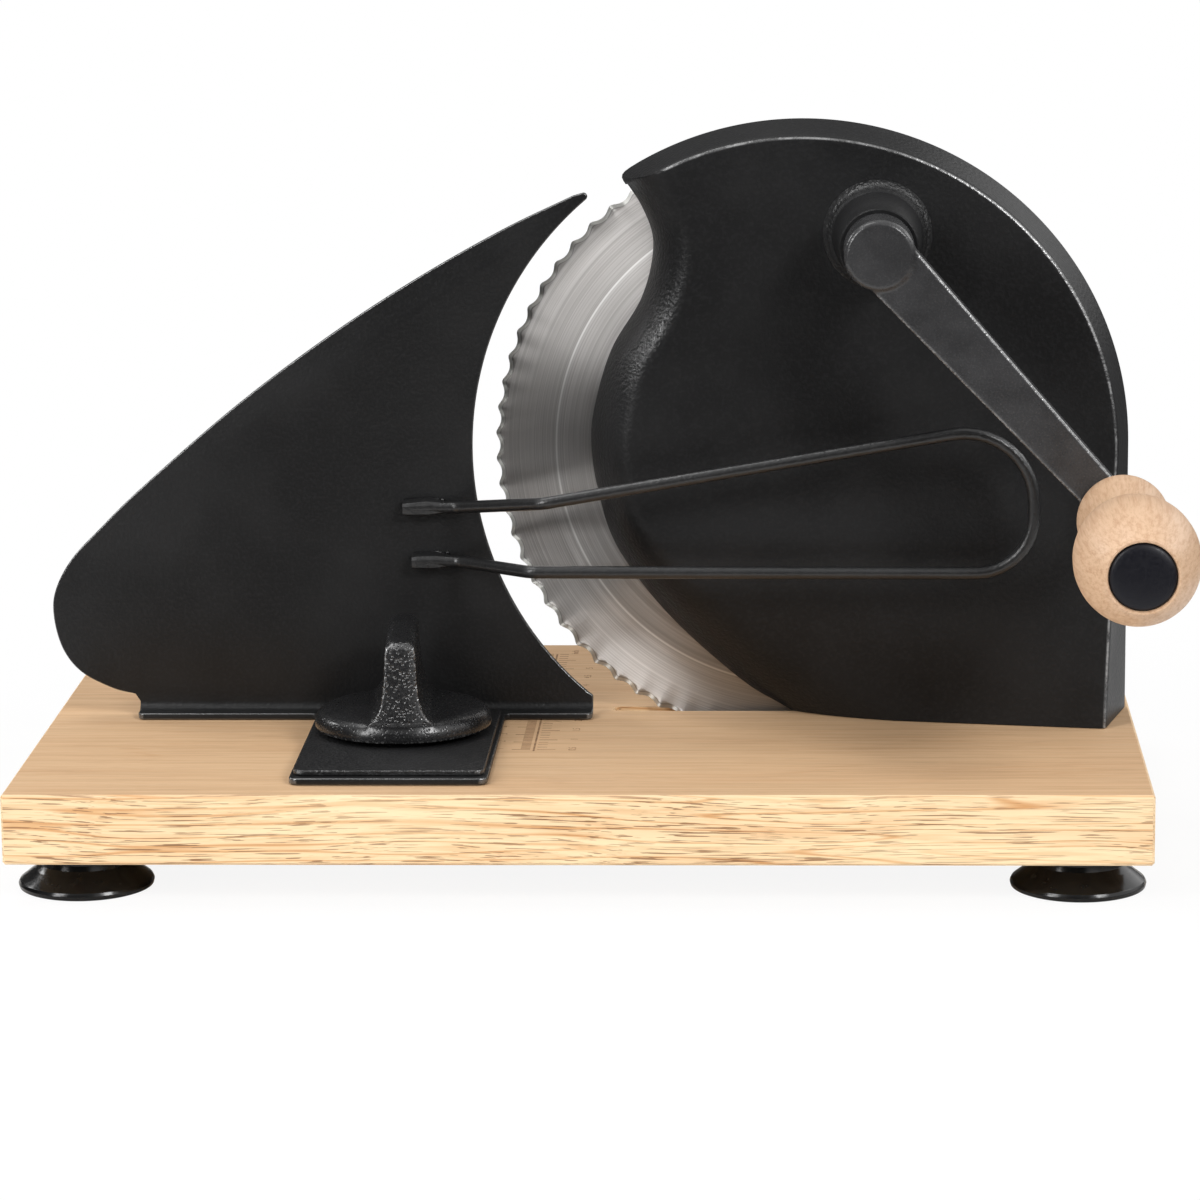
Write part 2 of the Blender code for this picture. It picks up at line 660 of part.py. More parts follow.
def make_feet():
    top = TABLE_HEIGHT + FOOT_HEIGHT
    seat = TABLE_HEIGHT + FOOT_HOLLOW_HEIGHT
    hole = FOOT_SCREW_RADIUS + SEAT_GAP
    rim = FOOT_RIM_RADIUS
    flare = rim - FOOT_TOP_RADIUS
    profile = [
        (hole, top),
        (FOOT_TOP_RADIUS, top),
        (FOOT_TOP_RADIUS + 0.1 * flare, top - 0.3 * FOOT_HEIGHT),
        (FOOT_TOP_RADIUS + 0.7 * flare, top - 0.7 * FOOT_HEIGHT),
        (rim, top - 0.84 * FOOT_HEIGHT),
        (rim, TABLE_HEIGHT),
        (rim - FOOT_RIM_WIDTH, TABLE_HEIGHT),
        (FOOT_SEAT_RADIUS + 0.5 * (rim - FOOT_RIM_WIDTH - FOOT_SEAT_RADIUS), seat - 2.4 * MM),
        (FOOT_SEAT_RADIUS, seat),
        (hole, seat),
    ]
    head_top = seat - SEAT_GAP
    head_bottom = head_top - FOOT_SCREW_HEAD_HEIGHT
    tip = -BOARD_THICKNESS + FOOT_SCREW_GRIP
    screw = [
        (0, head_bottom),
        (0.7 * FOOT_SCREW_HEAD_RADIUS, head_bottom),
        (FOOT_SCREW_HEAD_RADIUS, head_bottom + 0.5 * FOOT_SCREW_HEAD_HEIGHT),
        (FOOT_SCREW_HEAD_RADIUS, head_top),
        (FOOT_SCREW_RADIUS, head_top),
        (FOOT_SCREW_RADIUS, tip - FOOT_SCREW_RADIUS),
        (0, tip),
    ]
    for name, (x, y) in foot_places():
        turned(f"foot_{name}", profile, RUBBER, ORIGIN, 22, LEVEL, (x, y, 0))
        turned(f"foot_screw_{name}", screw, PLAIN_STEEL, ORIGIN, 12, LEVEL, (x, y, 0))


# Housing

def inset_ring(outline, insets):
    """The outline with each edge moved inwards by its own inset. Edge i leaves point i."""
    count = len(outline)
    found = []
    for i in range(count):
        here = Vector(outline[i])
        before = (here - Vector(outline[i - 1])).normalized()
        after = (Vector(outline[(i + 1) % count]) - here).normalized()
        inward_before = Vector((-before.y, before.x))
        inward_after = Vector((-after.y, after.x))
        first, second = insets[i - 1], insets[i]
        cross = inward_before.x * inward_after.y - inward_before.y * inward_after.x
        if abs(cross) > 0.3:
            move = Vector(
                (
                    (first * inward_after.y - second * inward_before.y) / cross,
                    (second * inward_before.x - first * inward_after.x) / cross,
                )
            )
        else:
            move = (inward_before + inward_after).normalized() * (first + second) / 2
        found.append(here + move)
    return found


def housing_front(x, z):
    """The depth of the housing's front face at a place measured from the blade's centre.

    The face leans back towards its top, and falls away at its lower left.
    """
    low = max(0.0, 1 - (z + BLADE_HEIGHT) / HOUSING_SCOOP_HEIGHT)
    aside = max(0.0, HOUSING_RADIUS - HOUSING_SCOOP_START - x)
    return HOUSING_FRONT + HOUSING_LEAN * z + HOUSING_SCOOP * aside * low**2


def housing_outline():
    """The housing's outline at its back, round from its lower right corner, and its edge kinds.

    It is measured from the blade's centre. The kinds are side, arc, lip and base.
    """
    base = SEAT_GAP - BLADE_HEIGHT
    grown = HOUSING_RADIUS / LIP_DRAWN_RADIUS
    lip = [(x * grown, z * grown) for x, z in LIP_POINTS]
    lip[-1] = (lip[-1][0], base)
    tip_angle = math.atan2(lip[0][1], lip[0][0])
    lip[0] = (HOUSING_RADIUS * math.cos(tip_angle), HOUSING_RADIUS * math.sin(tip_angle))
    side = [(HOUSING_RADIUS, base * (1 - i / 4)) for i in range(4)]
    crown = arc(0, 0, HOUSING_RADIUS, 0, tip_angle, 23)
    edge = smooth_through(lip, 3)
    left = edge[-1][0]
    floor = [(left + (HOUSING_RADIUS - left) * i / 4, base) for i in range(1, 4)]
    points = side + crown[:-1] + edge + floor
    kinds = ["side"] * 4 + ["arc"] * 22 + ["lip"] * (len(edge) - 1) + ["base"] * 4
    return points, kinds


def housing_depth(x, z, forward, wall):
    """The depth of a place that is a share of the way from the housing's back to its front."""
    front = housing_front(x, z)
    return HOUSING_BACK - wall + forward * (front - HOUSING_BACK + 2 * wall)


def cut_beak(ring, kinds, arc_radius):
    """The ring with its arc and its lip ending where they cross, with as many points as before.

    The radius of the arc is given for each height.
    """
    low, first, last = kinds.index("arc"), kinds.index("lip"), kinds.index("base")
    lip = ring[first + 1:last]
    lip = [lip[0] + 3 * (lip[0] - lip[1])] + lip
    past = [place.length - arc_radius(place.y) for place in lip]
    inside = next(i for i in range(1, len(lip)) if past[i] < 0)
    share = past[inside - 1] / (past[inside - 1] - past[inside])
    beak = lip[inside - 1].lerp(lip[inside], share)
    turn = math.atan2(beak.y, beak.x)
    crown = []
    for i in range(first - low):
        t = turn * i / (first - low)
        radius = arc_radius(HOUSING_RADIUS * math.sin(t))
        crown.append(Vector((radius * math.cos(t), radius * math.sin(t))))
    top = [beak.lerp(lip[inside], i / inside) for i in range(inside)]
    return ring[:low] + crown + top + lip[inside:] + ring[last:]


def housing_ring(forward, wall=0.0, shrink=1.0):
    """A section of the housing, or of its hollow where a wall is given.

    It lies at a share of the way from the back to the front. On the front face it can be
    shrunk towards the blade's centre.
    """
    points, kinds = housing_outline()

    def arc_radius(z):
        length = HOUSING_BACK - housing_depth(0, z, forward, wall)
        return HOUSING_RADIUS - wall - HOUSING_DRAFT * length

    insets = []
    for i, ((x, z), kind) in enumerate(zip(points, kinds)):
        length = HOUSING_BACK - housing_depth(x, z, forward, wall)
        share = min(length / (HOUSING_BACK - housing_front(x, z)), 1.0)
        low = max(0.0, 1 - (z + BLADE_HEIGHT) / HOUSING_SCOOP_HEIGHT)
        if kind == "side":
            draft = HOUSING_DRAFT + (HOUSING_CORNER_DRAFT - HOUSING_DRAFT) * (1 - i / 4)
            insets.append(wall + draft * length)
        elif kind == "arc":
            insets.append(wall + HOUSING_DRAFT * length)
        elif kind == "lip":
            bulge = HOUSING_LIP_ROUND + HOUSING_LOW_LIP_ROUND * low
            bulge *= 1 - math.sqrt(1 - share**2)
            insets.append(wall + HOUSING_LIP_DRAFT * length + bulge)
        else:
            insets.append(wall)
    ring = []
    for place in cut_beak(inset_ring(points, insets), kinds, arc_radius):
        x, z = place * shrink
        ring.append((x, housing_depth(x, z, forward, wall), z))
    return ring


def make_housing():
    turns = [math.radians(t) for t in (0, 25, 48, 68, 82, 90)]
    shell = loft(
        "housing",
        [housing_ring(math.sin(t)) for t in turns]
        + [housing_ring(1, shrink=share) for share in (0.7, 0.4)],
        BLACK_CAST,
        BLADE_AXIS,
    )
    cavity = loft(
        "housing_cavity",
        [housing_ring(forward, HOUSING_WALL) for forward in (0, 0.5, 1)]
        + [housing_ring(1, HOUSING_WALL, share) for share in (0.7, 0.4)],
        None,
        BLADE_AXIS,
    )
    boolean(shell, cavity)
    lid_front = HOUSING_BACK - HOUSING_WALL - 1 * MM
    opening = cylinder(
        "blade_opening", RIM_RADIUS, lid_front, HOUSING_BACK + 1 * MM, BLADE_AXIS, steps=72
    )
    boolean(shell, opening)

    root = HOUSING_INNER_FACE - HOUSING_WALL / 2
    axle_boss = cylinder("axle_boss", INNER_BOSS_RADIUS, root, INNER_BOSS_BACK, BLADE_AXIS)
    boolean(shell, axle_boss, "UNION")
    ring_front = CRANK_BOSS_ROOT - CRANK_BOSS_RING_HEIGHT
    crank_boss = turned(
        "crank_boss",
        [
            (0, CRANK_BOSS_FRONT),
            (CRANK_BOSS_FRONT_RADIUS, CRANK_BOSS_FRONT),
            (CRANK_BOSS_BASE_RADIUS, ring_front - CRANK_BOSS_RING_ROUND),
            (CRANK_BOSS_RING_RADIUS - CRANK_BOSS_RING_ROUND, ring_front),
            (CRANK_BOSS_RING_RADIUS, ring_front + CRANK_BOSS_RING_HEIGHT / 2),
            (CRANK_BOSS_RING_RADIUS, CRANK_BOSS_ROOT + HOUSING_WALL / 2),
            (INNER_BOSS_RADIUS, CRANK_BOSS_ROOT + HOUSING_WALL / 2),
            (INNER_BOSS_RADIUS, INNER_BOSS_BACK),
            (0, INNER_BOSS_BACK),
        ],
        None,
        CRANK_AXIS,
        28,
    )
    boolean(shell, crank_boss, "UNION")
    foot = SEAT_GAP + HOUSING_WALL / 2
    for i, (x, y) in enumerate(base_screw_places()):
        boss = cylinder(
            f"base_boss_{i + 1}", BASE_BOSS_RADIUS, foot, BASE_BOSS_HEIGHT, ORIGIN, LEVEL,
            (x, y, 0), 14,
        )
        boolean(shell, boss, "UNION")
        hole = cylinder(
            f"base_boss_hole_{i + 1}",
            BASE_SCREW_RADIUS + SEAT_GAP,
            -1 * MM,
            BASE_SCREW_BITE + 2 * SEAT_GAP,
            ORIGIN,
            LEVEL,
            (x, y, 0),
            12,
        )
        boolean(shell, hole)

    axle_hole = cylinder(
        "axle_hole", AXLE_RADIUS + SEAT_GAP, HOUSING_INNER_FACE, INNER_BOSS_BACK + 1 * MM,
        BLADE_AXIS, HOLE_ALONG_Y, steps=24,
    )
    boolean(shell, axle_hole)
    bush_hole = cylinder(
        "crank_bush_hole", CRANK_BUSH_RADIUS + SEAT_GAP, CRANK_BOSS_FRONT - 1 * MM,
        INNER_BOSS_BACK + 1 * MM, CRANK_AXIS, HOLE_ALONG_Y, steps=24,
    )
    boolean(shell, bush_hole)


def make_base_screws():
    head_top = -BOARD_THICKNESS + BASE_SCREW_SINK - SEAT_GAP
    head_bottom = head_top - BASE_SCREW_HEAD_HEIGHT
    profile = [
        (0, head_bottom),
        (0.75 * BASE_SCREW_HEAD_RADIUS, head_bottom),
        (BASE_SCREW_HEAD_RADIUS, head_bottom + 0.4 * BASE_SCREW_HEAD_HEIGHT),
        (BASE_SCREW_HEAD_RADIUS, head_top),
        (BASE_SCREW_RADIUS, head_top),
        (BASE_SCREW_RADIUS, BASE_SCREW_BITE),
        (0, BASE_SCREW_BITE),
    ]
    for i, (x, y) in enumerate(base_screw_places()):
        turned(
            f"housing_screw_{i + 1}", profile, PLAIN_STEEL, ORIGIN, 14, LEVEL, (x, y, 0)
        )


# Blade and its bearing

def blade_ring(radius, depth, points_per_tooth=1):
    """A ring of the blade. With more than one point to a tooth it follows the wavy edge."""
    count = BLADE_TEETH * points_per_tooth
    ring = []
    for i in range(count):
        t = 2 * math.pi * i / count
        dip = BLADE_TOOTH_HEIGHT * (0.5 - 0.5 * math.cos(BLADE_TEETH * t))
        r = radius - (dip if points_per_tooth > 1 else 0)
        ring.append((r * math.cos(t), depth, r * math.sin(t)))
    return ring


def rivet_angles():
    return [math.radians(90 + 180 + 360 * i / RIVET_COUNT) for i in range(RIVET_COUNT)]


def rivet_places():
    return [
        (RIVET_CIRCLE_RADIUS * math.cos(t), RIVET_CIRCLE_RADIUS * math.sin(t))
        for t in rivet_angles()
    ]


def make_blade():
    half_edge = BLADE_EDGE_THICKNESS / 2
    rings = [
        blade_ring(BLADE_BORE_RADIUS, BLADE_FRONT_FACE),
        blade_ring(BLADE_TIP_RADIUS - BLADE_FRONT_BEVEL, BLADE_FRONT_FACE),
        blade_ring(BLADE_TIP_RADIUS, BLADE_PLANE - half_edge, 4),
        blade_ring(BLADE_TIP_RADIUS, BLADE_PLANE + half_edge, 4),
        blade_ring(BLADE_TIP_RADIUS - BLADE_BACK_BEVEL, BLADE_BACK_FACE),
        blade_ring(BLADE_BORE_RADIUS, BLADE_BACK_FACE),
    ]
    blade = loft("blade", rings, BLADE_STEEL, BLADE_AXIS, closed=True)
    for i, (x, z) in enumerate(rivet_places()):
        hole = cylinder(
            f"blade_rivet_hole_{i + 1}", RIVET_SHANK_RADIUS + SEAT_GAP,
            BLADE_FRONT_FACE - 1 * MM, BLADE_BACK_FACE + 1 * MM, BLADE_AXIS,
            location=(x, 0, z), steps=12,
        )
        boolean(blade, hole)
    inner = CENTRE_SCREW_RADIUS + RUNNING_GAP
    washer(
        "hub_disc", inner, BLADE_BORE_RADIUS - HUB_DISC_GAP, BLADE_FRONT_FACE,
        BLADE_BACK_FACE, BLADE_STEEL, BLADE_AXIS, steps=36,
    )


def make_rivets():
    back_seat = BLADE_BACK_FACE + SEAT_GAP
    front_seat = GEAR_FRONT - SEAT_GAP
    profile = [
        (0, back_seat + RIVET_HEAD_HEIGHT),
        (0.6 * RIVET_HEAD_RADIUS, back_seat + 0.8 * RIVET_HEAD_HEIGHT),
        (RIVET_HEAD_RADIUS, back_seat + 0.2 * RIVET_HEAD_HEIGHT),
        (RIVET_HEAD_RADIUS, back_seat),
        (RIVET_SHANK_RADIUS, back_seat),
        (RIVET_SHANK_RADIUS, front_seat),
        (RIVET_HEAD_RADIUS, front_seat),
        (RIVET_HEAD_RADIUS, front_seat - RIVET_HEAD_HEIGHT),
        (0, front_seat - RIVET_HEAD_HEIGHT),
    ]
    for i, (x, z) in enumerate(rivet_places()):
        turned(
            f"blade_rivet_{i + 1}", profile, PLAIN_STEEL, BLADE_AXIS, 12, location=(x, 0, z)
        )


def gear_outline(teeth, first_tooth_angle):
    """An involute spur gear's outline, with a tooth centred on an angle."""
    pitch = GEAR_MODULE * teeth / 2
    base = pitch * math.cos(GEAR_PRESSURE_ANGLE)
    tip = pitch + GEAR_MODULE
    root = pitch - 1.25 * GEAR_MODULE

    def spread(radius):
        """Half the tooth's angle at a radius."""
        lean = math.acos(base / max(radius, base))
        involute = math.tan(lean) - lean
        pitch_involute = math.tan(GEAR_PRESSURE_ANGLE) - GEAR_PRESSURE_ANGLE
        thickness = math.pi * GEAR_MODULE / 2 - GEAR_BACKLASH
        return thickness / (2 * pitch) + pitch_involute - involute

    outline = []
    for k in range(teeth):
        middle = first_tooth_angle + 2 * math.pi * k / teeth
        flank = [(r, spread(r)) for r in (root, pitch, tip)]
        for r, half in flank:
            outline.append((r * math.cos(middle - half), r * math.sin(middle - half)))
        for r, half in flank[::-1]:
            outline.append((r * math.cos(middle + half), r * math.sin(middle + half)))
    return outline


def make_gears():
    bore = BLADE_BUSH_RADIUS + SEAT_GAP
    holes = [circle(RIVET_SHANK_RADIUS + SEAT_GAP, 12, x, z) for x, z in rivet_places()]
    gear = plate(
        "blade_gear",
        [gear_outline(GEAR_TEETH, CRANK_DIRECTION), circle(bore, 24), *holes],
        GEAR_FRONT,
        GEAR_BACK,
        GEAR_PLASTIC,
        BLADE_AXIS,
    )
    hub = washer(
        "gear_hub", bore, GEAR_HUB_RADIUS, HUB_FRONT, GEAR_FRONT + GEAR_FACE / 2, None,
        BLADE_AXIS, steps=24,
    )
    boolean(gear, hub, "UNION")

    half_tooth = math.pi / PINION_TEETH
    pinion = plate(
        "pinion",
        [
            gear_outline(PINION_TEETH, CRANK_DIRECTION + math.pi + half_tooth),
            circle(SHAFT_RADIUS + SEAT_GAP, 24),
        ],
        GEAR_FRONT,
        GEAR_BACK,
        PLAIN_STEEL,
        CRANK_AXIS,
    )
    hub = washer(
        "pinion_hub", SHAFT_RADIUS + SEAT_GAP, PINION_HUB_RADIUS, HUB_FRONT,
        GEAR_FRONT + GEAR_FACE / 2, None, CRANK_AXIS, steps=24,
    )
    boolean(pinion, hub, "UNION")


def make_bearings():
    washer(
        "blade_bush", AXLE_BUSH_BORE, BLADE_BUSH_RADIUS, HUB_FRONT, GEAR_BACK, BRONZE,
        BLADE_AXIS, steps=24,
    )
    washer(
        "crank_bush", BUSH_BORE, CRANK_BUSH_RADIUS, CRANK_BOSS_FRONT, INNER_BOSS_BACK, BRONZE,
        CRANK_AXIS, steps=24,
    )
    thrust_back = THRUST_WASHER_FRONT + THRUST_WASHER_THICKNESS
    washer(
        "blade_thrust_washer", AXLE_BUSH_BORE, THRUST_WASHER_RADIUS, THRUST_WASHER_FRONT,
        thrust_back, PLAIN_STEEL, BLADE_AXIS, steps=24,
    )
    washer(
        "crank_thrust_washer", BUSH_BORE, THRUST_WASHER_RADIUS, THRUST_WASHER_FRONT,
        thrust_back, PLAIN_STEEL, CRANK_AXIS, steps=24,
    )

    washer_low = BLADE_BACK_FACE + SEAT_GAP
    washer_high = washer_low + CENTRE_WASHER_THICKNESS
    screw_hole = CENTRE_SCREW_RADIUS + RUNNING_GAP
    head = washer_high + SEAT_GAP
    screw_tip = head - CENTRE_SCREW_LENGTH
    axle = [
        (0, HOUSING_INNER_FACE + SEAT_GAP),
        (AXLE_RADIUS, HOUSING_INNER_FACE + SEAT_GAP),
        (AXLE_RADIUS, GEAR_BACK),
        (screw_hole, GEAR_BACK),
        (screw_hole, screw_tip - SEAT_GAP),
        (0, screw_tip - SEAT_GAP),
    ]
    turned("blade_axle", axle, PLAIN_STEEL, BLADE_AXIS, 24)
    washer(
        "centre_washer", screw_hole, CENTRE_WASHER_RADIUS, washer_low, washer_high,
        PLAIN_STEEL, BLADE_AXIS, steps=24,
    )
    screw = turned(
        "centre_screw",
        [
            (0, screw_tip),
            (CENTRE_SCREW_RADIUS, screw_tip),
            (CENTRE_SCREW_RADIUS, head),
            (CENTRE_SCREW_HEAD_RADIUS, head),
            (CENTRE_SCREW_HEAD_RADIUS, head + 0.5 * CENTRE_SCREW_HEAD_HEIGHT),
            (0.6 * CENTRE_SCREW_HEAD_RADIUS, head + CENTRE_SCREW_HEAD_HEIGHT),
            (0, head + CENTRE_SCREW_HEAD_HEIGHT),
        ],
        PLAIN_STEEL,
        BLADE_AXIS,
        20,
    )
    arm, tip, waist = (share * CENTRE_SCREW_HEAD_RADIUS for share in (0.5, 0.1, 0.16))
    cross = []
    for i in range(4):
        turn = Matrix.Rotation(math.radians(90 * i), 2)
        cross += [tuple(turn @ Vector(p)) for p in ((arm, -tip), (arm, tip), (waist, waist))]
    recess = plate(
        "screw_cross", [cross], head + 0.45 * CENTRE_SCREW_HEAD_HEIGHT,
        head + CENTRE_SCREW_HEAD_HEIGHT + 1 * MM, None, BLADE_AXIS,
    )
    boolean(screw, recess)


# Crank

def arm_outline():
    """The bar of the arm from its hub to its eye, measured from the crank's axis."""
    along = Vector((math.cos(ARM_DROP_ANGLE), -math.sin(ARM_DROP_ANGLE)))
    across = Vector((-along.y, along.x))
    near, far = ARM_HUB_END_WIDTH / 2, ARM_KNOB_END_WIDTH / 2
    start = along * (ARM_HUB_RADIUS - ARM_HUB_OVERLAP)
    end = along * ARM_LENGTH
    angle = math.atan2(along.y, along.x)
    lean = math.asin(min(far / ARM_EYE_RADIUS, 1.0))
    eye = arc(end.x, end.y, ARM_EYE_RADIUS, angle - math.pi + lean, angle + math.pi - lean, 15)
    return [tuple(start + across * near), tuple(start - across * near)] + eye


def make_crank():
    collar_back = CRANK_BOSS_FRONT - SEAT_GAP
    hub_front = ARM_FRONT - ARM_HUB_PROUD
    arm = turned(
        "crank_arm",
        [
            (0, hub_front),
            (ARM_HUB_FACE_RADIUS, hub_front),
            (ARM_HUB_RADIUS, hub_front + ARM_HUB_PROUD),
            (ARM_HUB_RADIUS, collar_back),
            (0, collar_back),
        ],
        BLACK_HAMMERED,
        CRANK_AXIS,
    )
    bar = plate("arm_bar", [arm_outline()], ARM_FRONT, ARM_BACK, None, CRANK_AXIS)
    boolean(arm, bar, "UNION")
    socket_front = hub_front + ARM_SOCKET_WALL
    socket = cylinder(
        "shaft_socket", SHAFT_RADIUS + SEAT_GAP, socket_front, collar_back + 1 * MM,
        CRANK_AXIS, steps=24,
    )
    boolean(arm, socket)
    eye = cylinder(
        "knob_axle_hole", KNOB_AXLE_RADIUS + SEAT_GAP, ARM_FRONT - 1 * MM, ARM_BACK + 1 * MM,
        KNOB_AXIS, steps=16,
    )
    boolean(arm, eye)
    shaft = [
        (0, socket_front + SEAT_GAP),
        (SHAFT_RADIUS, socket_front + SEAT_GAP),
        (SHAFT_RADIUS, GEAR_BACK),
        (0, GEAR_BACK),
    ]
    turned("crank_shaft", shaft, PLAIN_STEEL, CRANK_AXIS, 24)


def knob_profile():
    """The knob's outer profile from its flange to its front face, as (radius, depth)."""
    shape = (
        (0.000, 0.93 * KNOB_FLANGE_RADIUS),
        (0.035, KNOB_FLANGE_RADIUS),
        (0.090, 0.97 * KNOB_FLANGE_RADIUS),
        (0.180, KNOB_WAIST_RADIUS + 0.35 * (KNOB_FLANGE_RADIUS - KNOB_WAIST_RADIUS)),
        (0.270, KNOB_WAIST_RADIUS),
        (0.370, KNOB_WAIST_RADIUS + 0.12 * (KNOB_BELLY_RADIUS - KNOB_WAIST_RADIUS)),
        (0.500, KNOB_WAIST_RADIUS + 0.60 * (KNOB_BELLY_RADIUS - KNOB_WAIST_RADIUS)),
        (0.610, KNOB_WAIST_RADIUS + 0.92 * (KNOB_BELLY_RADIUS - KNOB_WAIST_RADIUS)),
        (0.710, KNOB_BELLY_RADIUS),
        (0.800, KNOB_WAIST_RADIUS + 0.94 * (KNOB_BELLY_RADIUS - KNOB_WAIST_RADIUS)),
        (0.890, KNOB_FACE_RADIUS + 0.67 * (KNOB_BELLY_RADIUS - KNOB_FACE_RADIUS)),
        (0.955, KNOB_FACE_RADIUS + 0.33 * (KNOB_BELLY_RADIUS - KNOB_FACE_RADIUS)),
        (1.000, KNOB_FACE_RADIUS),
    )
    return [(radius, KNOB_BACK - KNOB_LENGTH * share) for share, radius in shape]


def make_knob():
    bore = KNOB_AXLE_RADIUS + RUNNING_GAP
    head_room = KNOB_AXLE_HEAD_RADIUS + 2 * RUNNING_GAP
    cap_hole = CAP_RADIUS + SEAT_GAP
    recess_back = KNOB_FRONT + KNOB_AXLE_RECESS
    cap_seat = CAP_BACK + SEAT_GAP
    profile = [(bore, KNOB_BACK)] + knob_profile() + [
        (cap_hole, KNOB_FRONT),
        (cap_hole, cap_seat),
        (head_room, cap_seat),
        (head_room, recess_back),
        (bore, recess_back),
    ]
    turned("crank_knob", profile, KNOB_WOOD, KNOB_AXIS, 26)
    cap = [
        (0, CAP_FRONT),
        (0.55 * CAP_RADIUS, KNOB_FRONT - 0.75 * CAP_DOME),
        (0.92 * CAP_RADIUS, KNOB_FRONT - 0.25 * CAP_DOME),
        (CAP_RADIUS, KNOB_FRONT + 0.5 * CAP_DOME),
        (CAP_RADIUS, CAP_BACK),
        (0, CAP_BACK),
    ]
    turned("knob_cap", cap, CAP_PLASTIC, KNOB_AXIS, 26)

    head = recess_back - RUNNING_GAP
    rivet = ARM_BACK + SEAT_GAP
    axle = [
        (0, head - KNOB_AXLE_HEAD_HEIGHT),
        (KNOB_AXLE_HEAD_RADIUS, head - KNOB_AXLE_HEAD_HEIGHT),
        (KNOB_AXLE_HEAD_RADIUS, head),
        (KNOB_AXLE_RADIUS, head),
        (KNOB_AXLE_RADIUS, rivet),
        (KNOB_AXLE_HEAD_RADIUS, rivet),
        (0.7 * KNOB_AXLE_HEAD_RADIUS, rivet + KNOB_AXLE_HEAD_HEIGHT),
        (0, rivet + KNOB_AXLE_HEAD_HEIGHT),
    ]
    turned("knob_axle", axle, PLAIN_STEEL, KNOB_AXIS, 20)


# Fence

def fence_upright():
    """The upright sheet's outline above its bend, from its lower left round to its lower right."""
    bend_top = SEAT_GAP + FENCE_THICKNESS / 2 + FENCE_BEND_RADIUS
    edge = [(FENCE_NOSE_X + x, z) for x, z in FENCE_EDGE_POINTS]
    slope = smooth_through(edge, 3)[::-1]
    reach = FENCE_EDGE_RADIUS + FENCE_TIP_RADIUS
    tip_x = BLADE_X + reach * math.cos(FENCE_TIP_ANGLE)
    tip_z = BLADE_HEIGHT + reach * math.sin(FENCE_TIP_ANGLE)
    turns = (math.radians(115), FENCE_TIP_ANGLE - math.pi)
    tip = arc(tip_x, tip_z, FENCE_TIP_RADIUS, *turns, 5)
    drop = BLADE_HEIGHT - FENCE_END_HEIGHT
    end_angle = math.pi + math.asin(min(drop / FENCE_EDGE_RADIUS, 1.0))
    start_angle = FENCE_TIP_ANGLE + math.radians(2)
    hollow = arc(BLADE_X, BLADE_HEIGHT, FENCE_EDGE_RADIUS, start_angle, end_angle, 22)
    hollow = [p for p in hollow if p[0] < FENCE_END_X - 0.5 * MM]
    return (
        [(FLANGE_LEFT_X, bend_top)]
        + slope
        + tip
        + hollow
        + [(FENCE_END_X, FENCE_END_HEIGHT), (FENCE_END_X, bend_top)]
    )


def make_fence():
    """One sheet: the upright, its bend at the foot, and the flange with its tongue."""
    mid = FENCE_BACK - FENCE_THICKNESS / 2
    level = SEAT_GAP + FENCE_THICKNESS / 2
    radius = FENCE_BEND_RADIUS
    corner = FENCE_CORNER_ROUND
    mesh = bpy.data.meshes.new("fence_plate")
    work = bmesh.new()
    upright = [work.verts.new((x, mid, z)) for x, z in fence_upright()]
    work.faces.new(upright)
    rows = [(upright[0], upright[-1])]
    for i in range(1, 5):
        t = math.pi / 2 * i / 4
        y, z = mid - radius * (1 - math.cos(t)), level + radius * (1 - math.sin(t))
        rows.append(
            (work.verts.new((FLANGE_LEFT_X, y, z)), work.verts.new((FENCE_END_X, y, z)))
        )
    for (left, right), (next_left, next_right) in zip(rows, rows[1:]):
        work.faces.new((left, right, next_right, next_left))
    tongue_left, tongue_right = CLAMP_X - TONGUE_WIDTH / 2, CLAMP_X + TONGUE_WIDTH / 2
    last_left, last_right = rows[-1]
    front = [
        tuple(last_left.co.xy),
        (FLANGE_LEFT_X, FLANGE_FRONT),
        (tongue_left, FLANGE_FRONT),
        (tongue_left, TONGUE_FRONT),
        (tongue_right, TONGUE_FRONT),
        (tongue_right, FLANGE_FRONT),
        (FENCE_END_X, FLANGE_FRONT),
        tuple(last_right.co.xy),
    ]
    inner = FENCE_BEND_RADIUS / 2
    radii = [0, corner, inner, corner, corner, inner, corner, 0]
    path = rounded([(x, y, 0) for x, y in front], radii, 3)[1:-1]
    foot = [work.verts.new((x, y, level)) for x, y, _ in path]
    work.faces.new([last_left] + foot + [last_right])
    bmesh.ops.recalc_face_normals(work, faces=work.faces)
    work.to_mesh(mesh)
    work.free()
    fence = new_object("fence_plate", mesh, BLACK_SHEET, FENCE_ORIGIN)
    solid = fence.modifiers.new("sheet", "SOLIDIFY")
    solid.thickness = FENCE_THICKNESS
    solid.offset = 0
    solid.use_even_offset = True

    slot = clamp_slot()
    cut = plate(
        "tongue_slot", [slot], -1 * MM, TONGUE_TOP + 1 * MM, None, ORIGIN, LEVEL
    )
    boolean(fence, cut)

    box = rounded_box(
        tongue_left + DOUBLER_MARGIN,
        TONGUE_FRONT + DOUBLER_FRONT_MARGIN,
        tongue_right - DOUBLER_MARGIN,
        FLANGE_FRONT,
        corner,
    )
    plate(
        "tongue_doubler", [box, slot], DOUBLER_BOTTOM, DOUBLER_TOP, BLACK_SHEET,
        FENCE_ORIGIN, LEVEL,
    )


